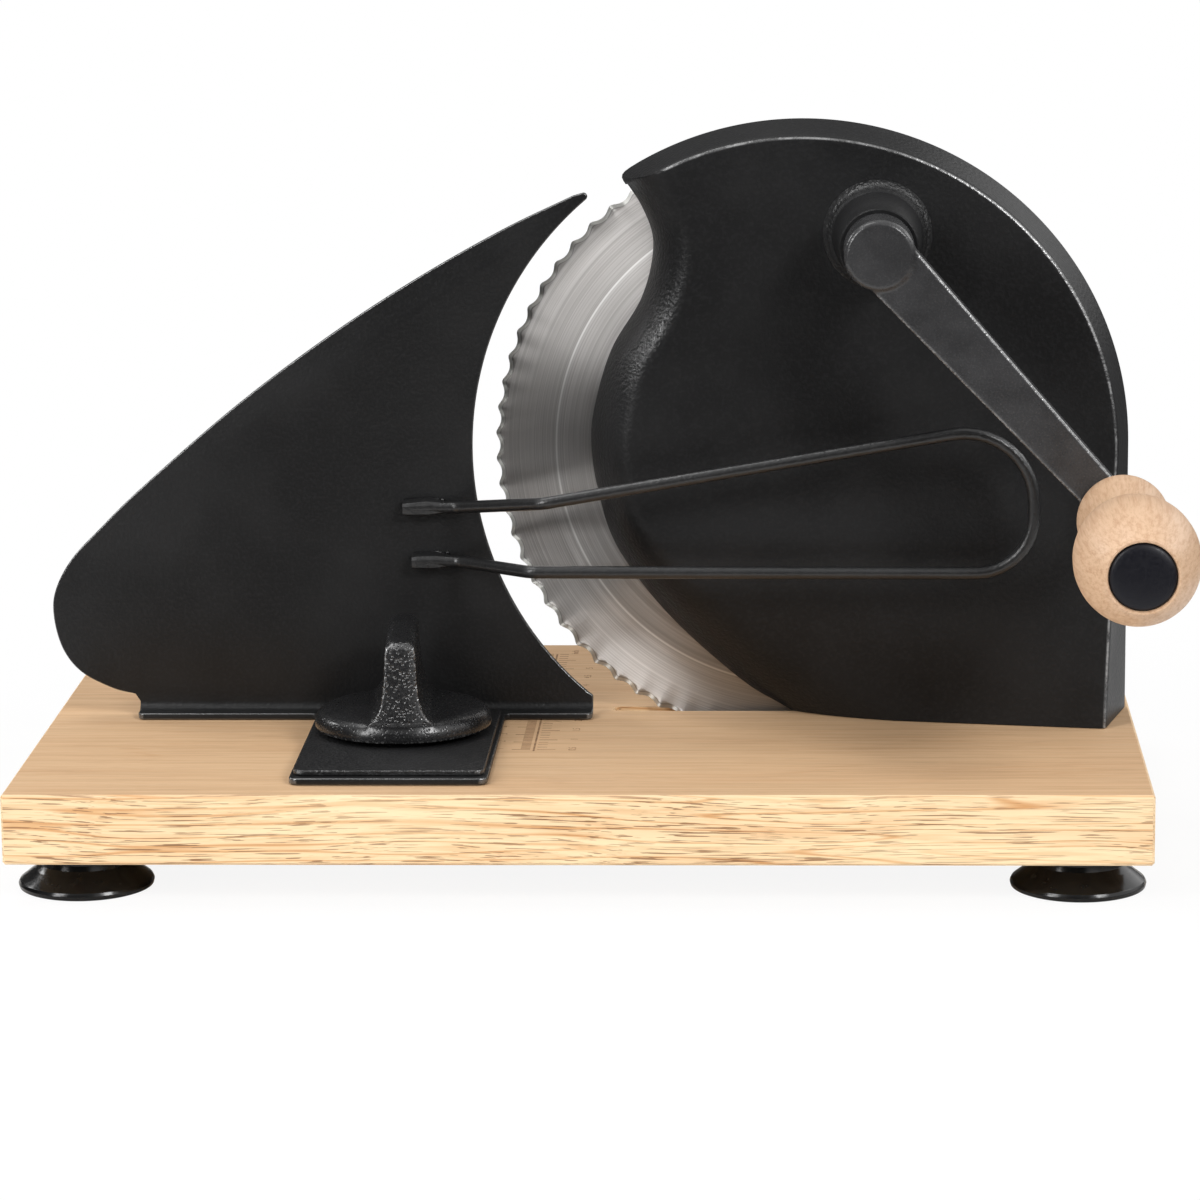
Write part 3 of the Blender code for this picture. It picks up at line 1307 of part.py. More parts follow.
def clamp_slot():
    """The slot that lets the fence slide past the clamp's bolt, as the fence stands at rest."""
    low = CLAMP_DEPTH - FENCE_IN
    high = CLAMP_DEPTH + FENCE_OUT
    front = arc(CLAMP_X, low, CLAMP_SLOT_RADIUS, math.pi, 2 * math.pi, 9)
    back = arc(CLAMP_X, high, CLAMP_SLOT_RADIUS, 0, math.pi, 9)
    return front + back


def make_guard():
    """The wire loop in front of the housing. Its two ends are welded to the fence's front."""
    weld = FENCE_FRONT - SEAT_GAP - GUARD_WIRE_RADIUS
    plan = [
        (GUARD_TOP_WELD, weld, 0),
        (GUARD_TOP_WELD_END, weld, GUARD_BEND_RADIUS),
        (GUARD_TOP_KNEE, GUARD_PLANE, GUARD_BEND_RADIUS),
        (GUARD_NOSE_TOP, GUARD_PLANE, GUARD_NOSE_TOP_RADIUS),
        (GUARD_NOSE_BOTTOM, GUARD_PLANE, GUARD_NOSE_BOTTOM_RADIUS),
        (GUARD_BOTTOM_KNEE, GUARD_PLANE, GUARD_BEND_RADIUS),
        (GUARD_BOTTOM_WELD_END, weld, GUARD_BEND_RADIUS),
        (GUARD_BOTTOM_WELD, weld, 0),
    ]
    corners = [(BLADE_X + x, y, BLADE_HEIGHT + z) for (x, z), y, _ in plan]
    radii = [radius for _, _, radius in plan]
    wire("wire_guard", rounded(corners, radii, 5), GUARD_WIRE_RADIUS, BLACK_SHEET, FENCE_ORIGIN)


# Clamp

def make_clamp():
    underside = -BOARD_THICKNESS
    head_top = underside + CLAMP_BOLT_SINK - SEAT_GAP
    bolt_top = CLAMP_BOTTOM + CLAMP_BOLT_BITE
    bolt = [
        (0, head_top - CLAMP_BOLT_HEAD_HEIGHT),
        (0.6 * CLAMP_BOLT_HEAD_RADIUS, head_top - 0.9 * CLAMP_BOLT_HEAD_HEIGHT),
        (CLAMP_BOLT_HEAD_RADIUS, head_top - 0.4 * CLAMP_BOLT_HEAD_HEIGHT),
        (CLAMP_BOLT_HEAD_RADIUS, head_top),
        (CLAMP_BOLT_RADIUS, head_top),
        (CLAMP_BOLT_RADIUS, bolt_top),
        (0, bolt_top),
    ]
    turned("clamp_bolt", bolt, PLAIN_STEEL, CLAMP_AXIS, 20, LEVEL)
    bore = CLAMP_BOLT_RADIUS + RUNNING_GAP
    washer(
        "clamp_washer", bore, CLAMP_WASHER_RADIUS, CLAMP_WASHER_BOTTOM,
        CLAMP_WASHER_BOTTOM + CLAMP_WASHER_THICKNESS, PLAIN_STEEL, CLAMP_AXIS, LEVEL, 24,
    )

    disc_top = CLAMP_BOTTOM + CLAMP_DISC_HEIGHT
    wing_top = CLAMP_BOTTOM + CLAMP_WING_HEIGHT
    rim = CLAMP_DISC_RADIUS
    knob = turned(
        "clamp_knob",
        [
            (0, CLAMP_BOTTOM),
            (rim, CLAMP_BOTTOM),
            (rim - 0.5 * CLAMP_DISC_DRAFT, disc_top - CLAMP_DISC_EDGE),
            (rim - CLAMP_DISC_DRAFT - 0.6 * CLAMP_DISC_EDGE, disc_top),
            (0, disc_top + CLAMP_DISC_CROWN),
        ],
        BLACK_HAMMERED,
        CLAMP_AXIS,
        40,
        LEVEL,
    )
    root = CLAMP_BOTTOM + CLAMP_WING_ROOT
    rings = []
    for i in range(9):
        z = root + (wing_top - root) * (i / 8) ** 1.6
        rise = max(z - disc_top + 2 * CLAMP_DISC_EDGE, 0.0)
        fall = (wing_top - z) / (wing_top - CLAMP_BOTTOM)
        width = (
            CLAMP_WING_WIDTH
            + CLAMP_WING_DRAFT * fall
            + CLAMP_WING_FLARE * math.exp(-rise / CLAMP_WING_FLARE_HEIGHT)
        )
        reach = 1.15 * rim
        rings.append(
            [
                (x, y, z)
                for x, y in rounded_box(
                    -width / 2, -reach, width / 2, reach, 0.25 * CLAMP_WING_WIDTH, 2
                )
            ]
        )
    wing = loft("clamp_wing", rings, None, CLAMP_AXIS)
    end = rim - CLAMP_WING_STEP
    shoulder = end - CLAMP_WING_END_DRAFT
    envelope = turned(
        "wing_envelope",
        [
            (0, CLAMP_BOTTOM - 1 * MM),
            (end, CLAMP_BOTTOM - 1 * MM),
            (shoulder, wing_top - 1.1 * CLAMP_WING_TOP_ROUND),
            (shoulder - CLAMP_WING_TOP_ROUND, wing_top + 0.55 * CLAMP_WING_TOP_ROUND),
            (0, wing_top + 0.55 * CLAMP_WING_TOP_ROUND),
        ],
        None,
        CLAMP_AXIS,
        40,
        LEVEL,
    )
    boolean(wing, envelope, "INTERSECT")
    boolean(knob, wing, "UNION")
    thread = cylinder(
        "clamp_thread", bore, CLAMP_BOTTOM - 1 * MM, bolt_top + SEAT_GAP, CLAMP_AXIS, LEVEL,
        steps=20,
    )
    boolean(knob, thread)
    for piece in (knob, wing):
        piece.rotation_euler = (0, 0, CLAMP_WING_TURN)


make_board()
make_feet()
make_housing()
make_base_screws()
make_blade()
make_rivets()
make_gears()
make_bearings()
make_crank()
make_knob()
make_fence()
make_guard()
make_clamp()
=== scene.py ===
"""The looks of a hand-cranked bread slicer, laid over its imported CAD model.

Lengths are in millimetres, and every place is measured from the board: x runs right from its left
edge, y runs back from its front edge and z runs up from its top face. at() turns such a place
into the frame's metres.
"""

import math

import bmesh
import bpy
from mathutils import Matrix, Vector, noise


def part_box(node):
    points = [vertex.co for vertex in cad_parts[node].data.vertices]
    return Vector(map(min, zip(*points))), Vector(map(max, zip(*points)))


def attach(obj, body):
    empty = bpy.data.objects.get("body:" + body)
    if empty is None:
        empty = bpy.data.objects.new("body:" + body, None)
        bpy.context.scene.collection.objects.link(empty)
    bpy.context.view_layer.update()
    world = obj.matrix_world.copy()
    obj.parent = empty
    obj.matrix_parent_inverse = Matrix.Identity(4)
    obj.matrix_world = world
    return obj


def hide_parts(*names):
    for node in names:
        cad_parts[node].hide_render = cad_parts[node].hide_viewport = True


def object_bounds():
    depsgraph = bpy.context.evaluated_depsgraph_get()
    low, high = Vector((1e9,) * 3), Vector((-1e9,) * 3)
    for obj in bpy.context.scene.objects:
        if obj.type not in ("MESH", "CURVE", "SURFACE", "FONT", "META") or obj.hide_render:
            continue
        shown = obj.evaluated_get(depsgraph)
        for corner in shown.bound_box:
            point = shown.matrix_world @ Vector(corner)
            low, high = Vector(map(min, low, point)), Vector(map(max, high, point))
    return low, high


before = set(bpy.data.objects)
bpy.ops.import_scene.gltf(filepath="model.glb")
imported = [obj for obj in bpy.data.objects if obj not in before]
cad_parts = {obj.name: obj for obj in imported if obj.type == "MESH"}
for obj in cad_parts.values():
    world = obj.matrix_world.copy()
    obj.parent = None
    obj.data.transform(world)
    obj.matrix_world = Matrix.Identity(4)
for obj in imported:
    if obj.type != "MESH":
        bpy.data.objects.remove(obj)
cad_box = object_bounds()


# Camera: a long lens, a little above the slicer and almost square to its front, and rolled a hair
# about its own axis.

CAMERA_PLACE = (0.065485, -1.40819, 0.37643)
CAMERA_PITCH = 0.209
CAMERA_YAW = 0.034
CAMERA_ROLL = -0.008
CAMERA_LENS = 135.834
CAMERA_SHIFT = -0.05

camera_data = bpy.data.cameras.new("camera")
camera_data.sensor_width = 36
camera_data.lens = CAMERA_LENS
camera_data.shift_x = CAMERA_SHIFT
camera_data.clip_start = 0.1
camera_data.clip_end = 60
camera = bpy.data.objects.new("camera", camera_data)
camera.matrix_world = (
    Matrix.Translation(CAMERA_PLACE)
    @ Matrix.Rotation(CAMERA_YAW, 4, "Z")
    @ Matrix.Rotation(math.pi / 2 - CAMERA_PITCH, 4, "X")
    @ Matrix.Rotation(CAMERA_ROLL, 4, "Z")
)
bpy.context.scene.collection.objects.link(camera)
bpy.context.scene.camera = camera


# Base board: one slab of oiled beech, planed, with the blade's slot routed in its top. Its grain
# runs along it, so its top and front show fibres and pores, and its ends show the rings.

MM = 0.001
BOARD_LENGTH = 350
BOARD_WIDTH = 210
BEECH_PALE = (0.86, 0.66, 0.41)
BEECH_DEEP = (0.70, 0.46, 0.25)
BEECH_PORE = (0.22, 0.105, 0.04)
# The top's colours are darker and pinker than the front's: the same beech, with painted shade on
# the top.
BEECH_TOP_SHADED = (0.60, 0.39, 0.225)
BEECH_TOP_LINE_SHADED = (0.50, 0.305, 0.165)
BEECH_END_PORE = (0.42, 0.25, 0.12)
BOARD_HEART = (0, 0.03, -0.07)
BOARD_RING_PITCH = 330
board_low, board_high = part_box("base_board")


def at(x, y, z):
    """A place in millimetres from the board's left edge, front edge and top, in metres."""
    return Vector((board_low.x + x * MM, board_low.y + y * MM, board_high.z + z * MM))


def new_finish(name, color, roughness, metallic=0.0, specular=0.5):
    """A finish, with its tree, its shader and the object coordinates that patterns follow."""
    finish = bpy.data.materials.new(name)
    finish.use_nodes = True
    tree = finish.node_tree
    shader = tree.nodes["Principled BSDF"]
    shader.inputs["Base Color"].default_value = (*color, 1)
    shader.inputs["Roughness"].default_value = roughness
    shader.inputs["Metallic"].default_value = metallic
    shader.inputs["Specular IOR Level"].default_value = specular
    return finish, tree, shader, tree.nodes.new("ShaderNodeTexCoord").outputs["Object"]


def node(tree, kind, feeds=(), **settings):
    """A node with its settings, and with each fed socket given a value or another's output."""
    made = tree.nodes.new(kind)
    for name, value in settings.items():
        setattr(made, name, value)
    feed(made, dict(feeds))
    return made


def feed(fed, feeds):
    for socket, value in feeds.items():
        if isinstance(value, bpy.types.NodeSocket):
            fed.id_data.links.new(value, fed.inputs[socket])
        else:
            fed.inputs[socket].default_value = value


def result(tree, kind, feeds=(), **settings):
    """The first output of a new node."""
    return node(tree, kind, feeds, **settings).outputs[0]


def figured(tree, operation, *values):
    return result(tree, "ShaderNodeMath", dict(enumerate(values)), operation=operation)


def multiplied(tree, first, second):
    return figured(tree, "MULTIPLY", first, second)


def parts(tree, vector):
    """The outputs X, Y and Z of a vector."""
    return node(tree, "ShaderNodeSeparateXYZ", {0: vector}).outputs


def grain(tree, place, scale, detail=3.0, roughness=0.5, distortion=0.0):
    """Noise from 0 to 1, on a place stretched by one scale or by one for each direction."""
    scale = scale if isinstance(scale, (list, tuple)) else [scale] * 3
    stretched = result(tree, "ShaderNodeMapping", {"Vector": place, "Scale": scale})
    feeds = {"Vector": stretched, "Scale": 1.0, "Detail": detail, "Roughness": roughness}
    feeds["Distortion"] = distortion
    return node(tree, "ShaderNodeTexNoise", feeds).outputs["Fac"]


def between(tree, value, low, high, to_low=0.0, to_high=1.0):
    """A value that rises from to_low at low to to_high at high, smoothly, and no further."""
    feeds = {"Value": value, 1: low, 2: high, 3: to_low, 4: to_high}
    return result(tree, "ShaderNodeMapRange", feeds, interpolation_type="SMOOTHSTEP")


def blended(tree, share, first, second, blend="MIX"):
    """The first colour, and the second one over it by a share."""
    feeds = {0: share, 6: first, 7: second}
    feeds = {k: (*c, 1) if isinstance(c, tuple) else c for k, c in feeds.items()}
    return node(tree, "ShaderNodeMix", feeds, data_type="RGBA", blend_type=blend).outputs[2]


def bumped(tree, shader, height, depth, strength=1.0):
    """Gives the shader a relief, its depth in metres, over any relief that it has."""
    feeds = {"Height": height, "Distance": depth, "Strength": strength}
    for link in shader.inputs["Normal"].links:
        feeds["Normal"] = link.from_socket
    feed(shader, {"Normal": result(tree, "ShaderNodeBump", feeds)})


def beech_finish(name, pale, deep, pore, along, pore_share, line_strength):
    """Beech with its fibres along one direction, given as 1 on that axis and 0 on the others."""
    finish, tree, shader, place = new_finish(name, pale, 0.5)

    def drawn(place, lengthwise, crosswise, *more):
        return grain(tree, place, [lengthwise if a else crosswise for a in along], *more)

    sway = {0: [0.0 if a else 0.012 for a in along], "Scale": drawn(place, 6, 12, 2)}
    sway = result(tree, "ShaderNodeVectorMath", sway, operation="SCALE")
    swayed = result(tree, "ShaderNodeVectorMath", {0: place, 1: sway}, operation="ADD")
    broad = drawn(swayed, 6, 60, 3, 0.55, 0.4)
    fibre = drawn(swayed, 24, 760, 4, 0.65)
    flecks = drawn(swayed, 52, 2200, 2)
    lines = figured(tree, "PINGPONG", multiplied(tree, drawn(swayed, 2.2, 75, 1), 14.0), 0.5)
    lines = multiplied(
        tree, between(tree, lines, 0.36, 0.5), between(tree, broad, 0.3, 0.6, 0.25, 0.9)
    )
    pores = multiplied(
        tree, between(tree, flecks, 0.58, 0.615), between(tree, broad, 0.35, 0.6, 0.5, 1.0)
    )
    color = blended(tree, between(tree, broad, 0.34, 0.85), pale, deep)
    color = blended(tree, multiplied(tree, lines, line_strength), color, deep, "MULTIPLY")
    color = blended(tree, between(tree, fibre, 0.4, 0.7, 0.0, 0.4), color, deep, "MULTIPLY")
    color = blended(tree, multiplied(tree, pores, pore_share), color, pore)
    rough = between(tree, fibre, 0.2, 0.8, 0.46, 0.6)
    feed(shader, {"Base Color": color, "Roughness": rough})
    bumped(tree, shader, fibre, 0.00004)
    bumped(tree, shader, flecks, 0.00005)
    return finish, tree, shader, place, color


def refinish(finish, *names):
    """Gives CAD nodes that keep their solids another finish."""
    for name in names:
        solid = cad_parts[name].data
        solid.materials.clear()
        solid.materials.append(finish)


beech, tree, shader, place, color = beech_finish(
    "board_beech", BEECH_PALE, BEECH_DEEP, BEECH_PORE, (1, 0, 0), 0.95, 1.0
)
facing = parts(tree, node(tree, "ShaderNodeTexCoord").outputs["Normal"])
upward = between(tree, facing["Z"], 0.6, 0.9)
endward = between(tree, figured(tree, "ABSOLUTE", facing["X"]), 0.6, 0.9)
planed = between(tree, grain(tree, place, (9, 420, 420), 4, 0.7), 0.38, 0.72)
# The top takes the darker colours, with its planed lines as grain: painted shade on the top face.
shaded_top = blended(tree, planed, BEECH_TOP_SHADED, BEECH_TOP_LINE_SHADED)
shaded_top = blended(tree, 0.16, shaded_top, color)
section = result(tree, "ShaderNodeMapping", {"Vector": place, "Scale": (0, 1, 1)})
feeds = {0: section, 1: BOARD_HEART}
from_heart = node(tree, "ShaderNodeVectorMath", feeds, operation="DISTANCE").outputs["Value"]
wander = grain(tree, section, 30)
rings = figured(tree, "MULTIPLY_ADD", from_heart, BOARD_RING_PITCH, wander)
rings = between(tree, figured(tree, "PINGPONG", rings, 0.5), 0.2, 0.5, 0.0, 0.55)
dots = between(tree, grain(tree, section, 1500, 2), 0.56, 0.64, 0.0, 0.55)
ends = blended(tree, dots, blended(tree, rings, BEECH_PALE, BEECH_DEEP), BEECH_END_PORE)
color = blended(tree, upward, blended(tree, endward, color, ends), shaded_top)
feed(shader, {"Base Color": color})
refinish(beech, "base_board")


# Ruler: marks burnt a hair into the board's top, a centre line with a scale down each side of it,
# in centimetres on the left and in half inches on the right, with their numbers lying sideways.

RULER_X = 159
RULER_FRONT = 58
RULER_BACK = 195
RULER_LENGTH = RULER_BACK - RULER_FRONT
RULER_LINE_WIDTH = 0.6
RULER_INK_HEIGHT = 0.03
TICK_SHORT = 3.0
TICK_LONG = 5.8
TICK_WIDTH = 0.42
RULER_UNIT_SIZE = 3.4
# Name, side, gap to the line, step, long mark's turn, numbers' x, step, worth and size, unit
RULER_SCALES = (
    ("ruler_centimetres", -1.0, 1.2, 1.0, 10, -10.8, 10.0, 1, 3.7, "cm"),
    ("ruler_inches", 1.0, 1.0, 3.175, 4, 12.2, 12.7, 0.5, 3.5, "inch"),
)
SOCKET_KINDS = {int: "Int", float: "Float", tuple: "Vector"}

burnt, tree, shader, place = new_finish("burnt_marks", (0.20, 0.10, 0.045), 0.7)
scorch = between(tree, grain(tree, place, (160, 700, 700)), 0.3, 0.7)
feed(shader, {"Base Color": blended(tree, scorch, (0.16, 0.08, 0.035), (0.36, 0.21, 0.11))})


def new_tree(name, **inputs):
    """A geometry node tree with named inputs, each given by its value or by its kind's name."""
    made = bpy.data.node_groups.new(name, "GeometryNodeTree")
    made.interface.new_socket("Geometry", in_out="INPUT", socket_type="NodeSocketGeometry")
    for label, value in inputs.items():
        kind = SOCKET_KINDS.get(type(value), value)
        socket = made.interface.new_socket(label, in_out="INPUT", socket_type=f"NodeSocket{kind}")
        if kind != value:
            socket.default_value = value
    made.interface.new_socket("Geometry", in_out="OUTPUT", socket_type="NodeSocketGeometry")
    return made, made.nodes.new("NodeGroupInput").outputs


def close_tree(made, geometry, finish):
    """Ends a tree: its instances made real and the finish put on them."""
    real = result(made, "GeometryNodeRealizeInstances", {0: geometry})
    painted = result(made, "GeometryNodeSetMaterial", {"Geometry": real, "Material": finish})
    node(made, "NodeGroupOutput", {0: painted})


def link_piece(name, data):
    piece = bpy.data.objects.new(name, data)
    bpy.context.scene.collection.objects.link(piece)
    return piece


def plain_mesh(piece):
    """A new mesh of the piece as its modifiers leave it."""
    bpy.context.view_layer.update()
    graph = bpy.context.evaluated_depsgraph_get()
    return bpy.data.meshes.new_from_object(piece.evaluated_get(graph))


def settle(piece):
    """Makes the piece the plain mesh that its modifiers give, and takes them off."""
    mesh = plain_mesh(piece)
    piece.modifiers.clear()
    piece.data = mesh
    mesh.name = piece.name
    return piece


def grow(piece, made, **values):
    """Runs a tree on the piece, with its inputs set by their names here, and settles it."""
    modifier = piece.modifiers.new(made.name, "NODES")
    modifier.node_group = made
    sockets = {s.name: s.identifier for s in made.interface.items_tree if s.in_out == "INPUT"}
    for label, value in values.items():
        modifier[sockets[label]] = value
    return settle(piece)


def smooth(piece, angle):
    """Shades the piece smooth, with an edge kept sharp where it turns more than the angle."""
    mesh = piece.data
    mesh.polygons.foreach_set("use_smooth", [True] * len(mesh.polygons))
    mesh.set_sharp_from_angle(angle=math.radians(angle))
    return piece


def new_piece(name, work, finish):
    """The worked mesh as a piece of one finish."""
    mesh = bpy.data.meshes.new(name)
    work.to_mesh(mesh)
    work.free()
    mesh.materials.append(finish)
    return link_piece(name, mesh)


def closed_piece(name, work, finish):
    """A new piece, its doubles merged and its faces turned outwards."""
    bmesh.ops.remove_doubles(work, verts=work.verts, dist=0.0005 * MM)
    bmesh.ops.recalc_face_normals(work, faces=work.faces)
    return new_piece(name, work, finish)


def fit(piece, body, slot, *nodes):
    """Puts a finished piece on its body and hides the nodes that it stands for. The finish's slot
    is not used.
    """
    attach(piece, body)
    if nodes:
        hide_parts(*nodes)


ticks, given = new_tree(
    "tick_row", Count=10, Step=0.001, Start=(0, 0, 0), Side=1.0, Short=0.002, Long=0.004,
    Every=5, Width=0.0003, Height=0.00003,
)
feeds = {"Count": given["Count"], "Start Location": given["Start"]}
feeds["Offset"] = result(ticks, "ShaderNodeCombineXYZ", {"Y": given["Step"]})
line = result(ticks, "GeometryNodeMeshLine", feeds)
index = result(ticks, "GeometryNodeInputIndex")
whole = figured(ticks, "LESS_THAN", figured(ticks, "MODULO", index, given["Every"]), 0.5)
length = result(ticks, "ShaderNodeMapRange", {0: whole, 3: given["Short"], 4: given["Long"]})
feeds = {"X": length, "Y": given["Width"], "Z": given["Height"]}
size = result(ticks, "ShaderNodeCombineXYZ", feeds)
reach = multiplied(ticks, multiplied(ticks, given["Side"], 0.5), length)
aside = result(ticks, "ShaderNodeCombineXYZ", {"X": reach})
moved = result(ticks, "GeometryNodeSetPosition", {"Geometry": line, "Offset": aside})
bar = result(ticks, "GeometryNodeMeshCube", {"Size": (1, 1, 1)})
feeds = {"Points": moved, "Instance": bar, "Scale": size}
close_tree(ticks, result(ticks, "GeometryNodeInstanceOnPoints", feeds), burnt)


def flat_text(words, size, x, y):
    """Words lying sideways on the board's top as a thin solid mesh, their middle at the place."""
    curve = bpy.data.curves.new("words", "FONT")
    curve.body = words
    curve.size = size * MM
    curve.extrude = RULER_INK_HEIGHT * MM
    curve.align_x = curve.align_y = "CENTER"
    curve.resolution_u = 3
    holder = link_piece("words", curve)
    mesh = plain_mesh(holder)
    bpy.data.objects.remove(holder, do_unlink=True)
    mesh.transform(Matrix.Translation(at(x, y, 0)) @ Matrix.Rotation(math.pi / 2, 4, "Z"))
    return mesh


lettering = bmesh.new()
for name, side, gap, step, every, numbers_x, number_step, worth, size, unit in RULER_SCALES:
    marks = grow(
        link_piece(name, bpy.data.meshes.new(name)),
        ticks,
        Count=int(RULER_LENGTH / step) + 1,
        Step=step * MM,
        Start=at(RULER_X + side * gap, RULER_FRONT, 0),
        Side=side,
        Short=TICK_SHORT * MM,
        Long=TICK_LONG * MM,
        Every=every,
        Width=TICK_WIDTH * MM,
        Height=2 * RULER_INK_HEIGHT * MM,
    )
    fit(marks, "base", "beech_board")
    for i in range(1, int(RULER_LENGTH / number_step) + 1):
        y = RULER_FRONT + number_step * (i - 1) + 1
        lettering.from_mesh(flat_text(f"{i * worth:g}", size, RULER_X + numbers_x, y))
    unit_words = flat_text(unit, RULER_UNIT_SIZE, RULER_X + numbers_x / 2, RULER_BACK + 3)
    lettering.from_mesh(unit_words)

low = at(RULER_X - RULER_LINE_WIDTH / 2, RULER_FRONT - 2, -RULER_INK_HEIGHT)
high = at(RULER_X + RULER_LINE_WIDTH / 2, RULER_BACK, RULER_INK_HEIGHT)
work = bmesh.new()
bmesh.ops.create_cube(
    work, size=1, matrix=Matrix.LocRotScale((low + high) / 2, None, high - low)
)
fit(closed_piece("ruler_line", work, burnt), "base", "beech_board")
fit(new_piece("ruler_numbers", lettering, burnt), "base", "beech_board")


# Feet: four moulded rubber suction cups under the board's corners, each one held by a screw
# through the flat inside its hollow.

FOOT_HEIGHT = 12.5
FOOT_TOP = -22.3
FOOT_TABLE = FOOT_TOP - FOOT_HEIGHT
FOOT_SIDE_INSET = 21.6
FOOT_END_INSET = 25
FOOT_PROFILE = (
    (2.3, 12.5), (13.6, 12.5), (13.9, 11.9), (13.9, 9.4), (14.3, 7.7), (16.0, 6.0), (18.4, 4.1),
    (20.5, 2.5), (21.0, 1.5), (20.7, 0.3), (19.9, 0.0), (18.6, 0.3), (15.4, 2.0), (11.5, 3.7),
    (7.6, 5.6), (6.5, 6.5), (2.3, 6.5),
)
CORNERS = ("front_left", "front_right", "back_left", "back_right")

rubber, tree, shader, place = new_finish("foot_rubber", (0.003, 0.003, 0.003), 0.2, 0, 0.3)
feed(shader, {"Roughness": between(tree, grain(tree, place, 300, 4), 0.35, 0.75, 0.16, 0.3)})
bumped(tree, shader, grain(tree, place, 240, 2), 0.00004)

plated, tree, shader, place = new_finish("zinc_plated_steel", (0.56, 0.57, 0.59), 0.32, 1)
cloud = grain(tree, place, 220, 4, 0.6)
color = blended(tree, between(tree, cloud, 0.3, 0.7), (0.60, 0.61, 0.62), (0.47, 0.48, 0.5))
feed(shader, {"Base Color": color, "Roughness": between(tree, cloud, 0.3, 0.75, 0.24, 0.42)})


def round_corners(points, radii, steps=4, closed=True):
    """The flat path's corners, each one rounded to its radius. A radius of 0 leaves a corner."""
    found = []
    for i, (corner, radius) in enumerate(zip(points, radii)):
        here = Vector(corner)
        before = Vector(points[i - 1]) - here
        after = Vector(points[(i + 1) % len(points)]) - here
        ends = not closed and i in (0, len(points) - 1)
        bend = 0 if ends or radius == 0 else before.angle(after)
        if bend == 0 or bend > math.pi - 0.05:
            found.append(here)
            continue
        back, on = before.normalized(), after.normalized()
        reach = min(radius / math.tan(bend / 2), 0.49 * before.length, 0.49 * after.length)
        radius = reach * math.tan(bend / 2)
        centre = here + (back + on).normalized() * radius / math.sin(bend / 2)
        start = (here + back * reach - centre).normalized()
        end = (here + on * reach - centre).normalized()
        found += [centre + start.slerp(end, k / steps) * radius for k in range(steps + 1)]
    return found


def beside(middle, axis, a, b, along):
    """The place a and b across an axis and so far along it, from a middle in millimetres."""
    shift = (a, along, b) if axis == "y" else (a, b, along)
    return at(*(place + step for place, step in zip(middle, shift)))


def turned(work, profile, middle, axis="y", steps=64):
    """Turns a profile of (radius, place along the axis) about an axis, as one closed skin.

    The profile starts and ends on the axis, or else it is closed.
    """
    on_axis = profile[0][0] == 0 and profile[-1][0] == 0
    rings = []
    for radius, along in profile:
        turns = [2 * math.pi * i / steps for i in range(1 if radius == 0 else steps)]
        spots = [(radius * math.cos(t), radius * math.sin(t), along) for t in turns]
        rings.append([work.verts.new(beside(middle, axis, *spot)) for spot in spots])
    for near, far in zip(rings, rings[1:] + ([] if on_axis else rings[:1])):
        for i in range(steps):
            j = (i + 1) % steps
            face = [near[i % len(near)], near[j % len(near)], far[j % len(far)], far[i % len(far)]]
            corners = list(dict.fromkeys(face))
            if len(corners) > 2:
                work.faces.new(corners)


def turned_piece(name, profile, middle, axis, steps, finish):
    work = bmesh.new()
    turned(work, profile, middle, axis, steps)
    return closed_piece(name, work, finish)


def skin(work, rings, fans=()):
    """A skin over rings of one length, with each end, 0 and -1, shut by one face or by a fan."""
    rows = [[work.verts.new(p) for p in ring] for ring in rings]
    count = len(rows[0])
    for near, far in zip(rows, rows[1:]):
        for i in range(count):
            j = (i + 1) % count
            work.faces.new((near[i], near[j], far[j], far[i]))
    for end in (0, -1):
        if end not in fans:
            work.faces.new(rows[end])
            continue
        middle = work.verts.new(sum((v.co for v in rows[end]), Vector()) / count)
        for i in range(count):
            work.faces.new((rows[end][i], rows[end][(i + 1) % count], middle))
    return rows


def cross_screw(work, head, height, shank, length, middle, axis="z", out=-1):
    """A pan-head screw with a cross recess. Its head faces out along the axis from the middle."""
    arm, half_slot = 0.55 * head, 0.13 * head
    cross = []
    for quarter in range(4):
        c, s = math.cos(math.pi / 2 * quarter), math.sin(math.pi / 2 * quarter)
        for a, b in ((arm, half_slot), (half_slot, half_slot), (half_slot, arm)):
            cross.append((a * c - b * s, a * s + b * c))
    dense = []
    for (a, b), (c, d) in zip(cross, cross[1:] + cross[:1]):
        dense += [(a + (c - a) * k / 4, b + (d - b) * k / 4) for k in range(4)]
    turns = [math.atan2(b, a) for a, b in dense]
    rings = [[(0.9 * a, 0.9 * b, 0.45 * height) for a, b in dense]]
    rings.append([(a, b, 0.97 * height) for a, b in dense])
    rounded = ((0.72, 0.93), (0.9, 0.72), (0.985, 0.42), (1.0, 0.1), (0.98, 0.0))
    circles = [(share * head, rise * height) for share, rise in rounded]
    circles += [(shank, 0.0), (shank, shank - length), (0.3 * shank, -length)]
    for radius, along in circles:
        rings.append([(radius * math.cos(t), radius * math.sin(t), along) for t in turns])
    spots = [[beside(middle, axis, a, b, out * along) for a, b, along in ring] for ring in rings]
    skin(work, spots, (0, -1))


def to_origin(piece):
    """Moves a piece that was built at the board's corner to the origin, for a tree to copy."""
    piece.data.transform(Matrix.Translation(-at(0, 0, 0)))
    return piece


def close_copies(made, given, points):
    """Ends a tree that puts a copy of the piece at each point."""
    feeds = {"Points": points, "Instance": given["Geometry"]}
    close_tree(made, result(made, "GeometryNodeInstanceOnPoints", feeds), given["Finish"])


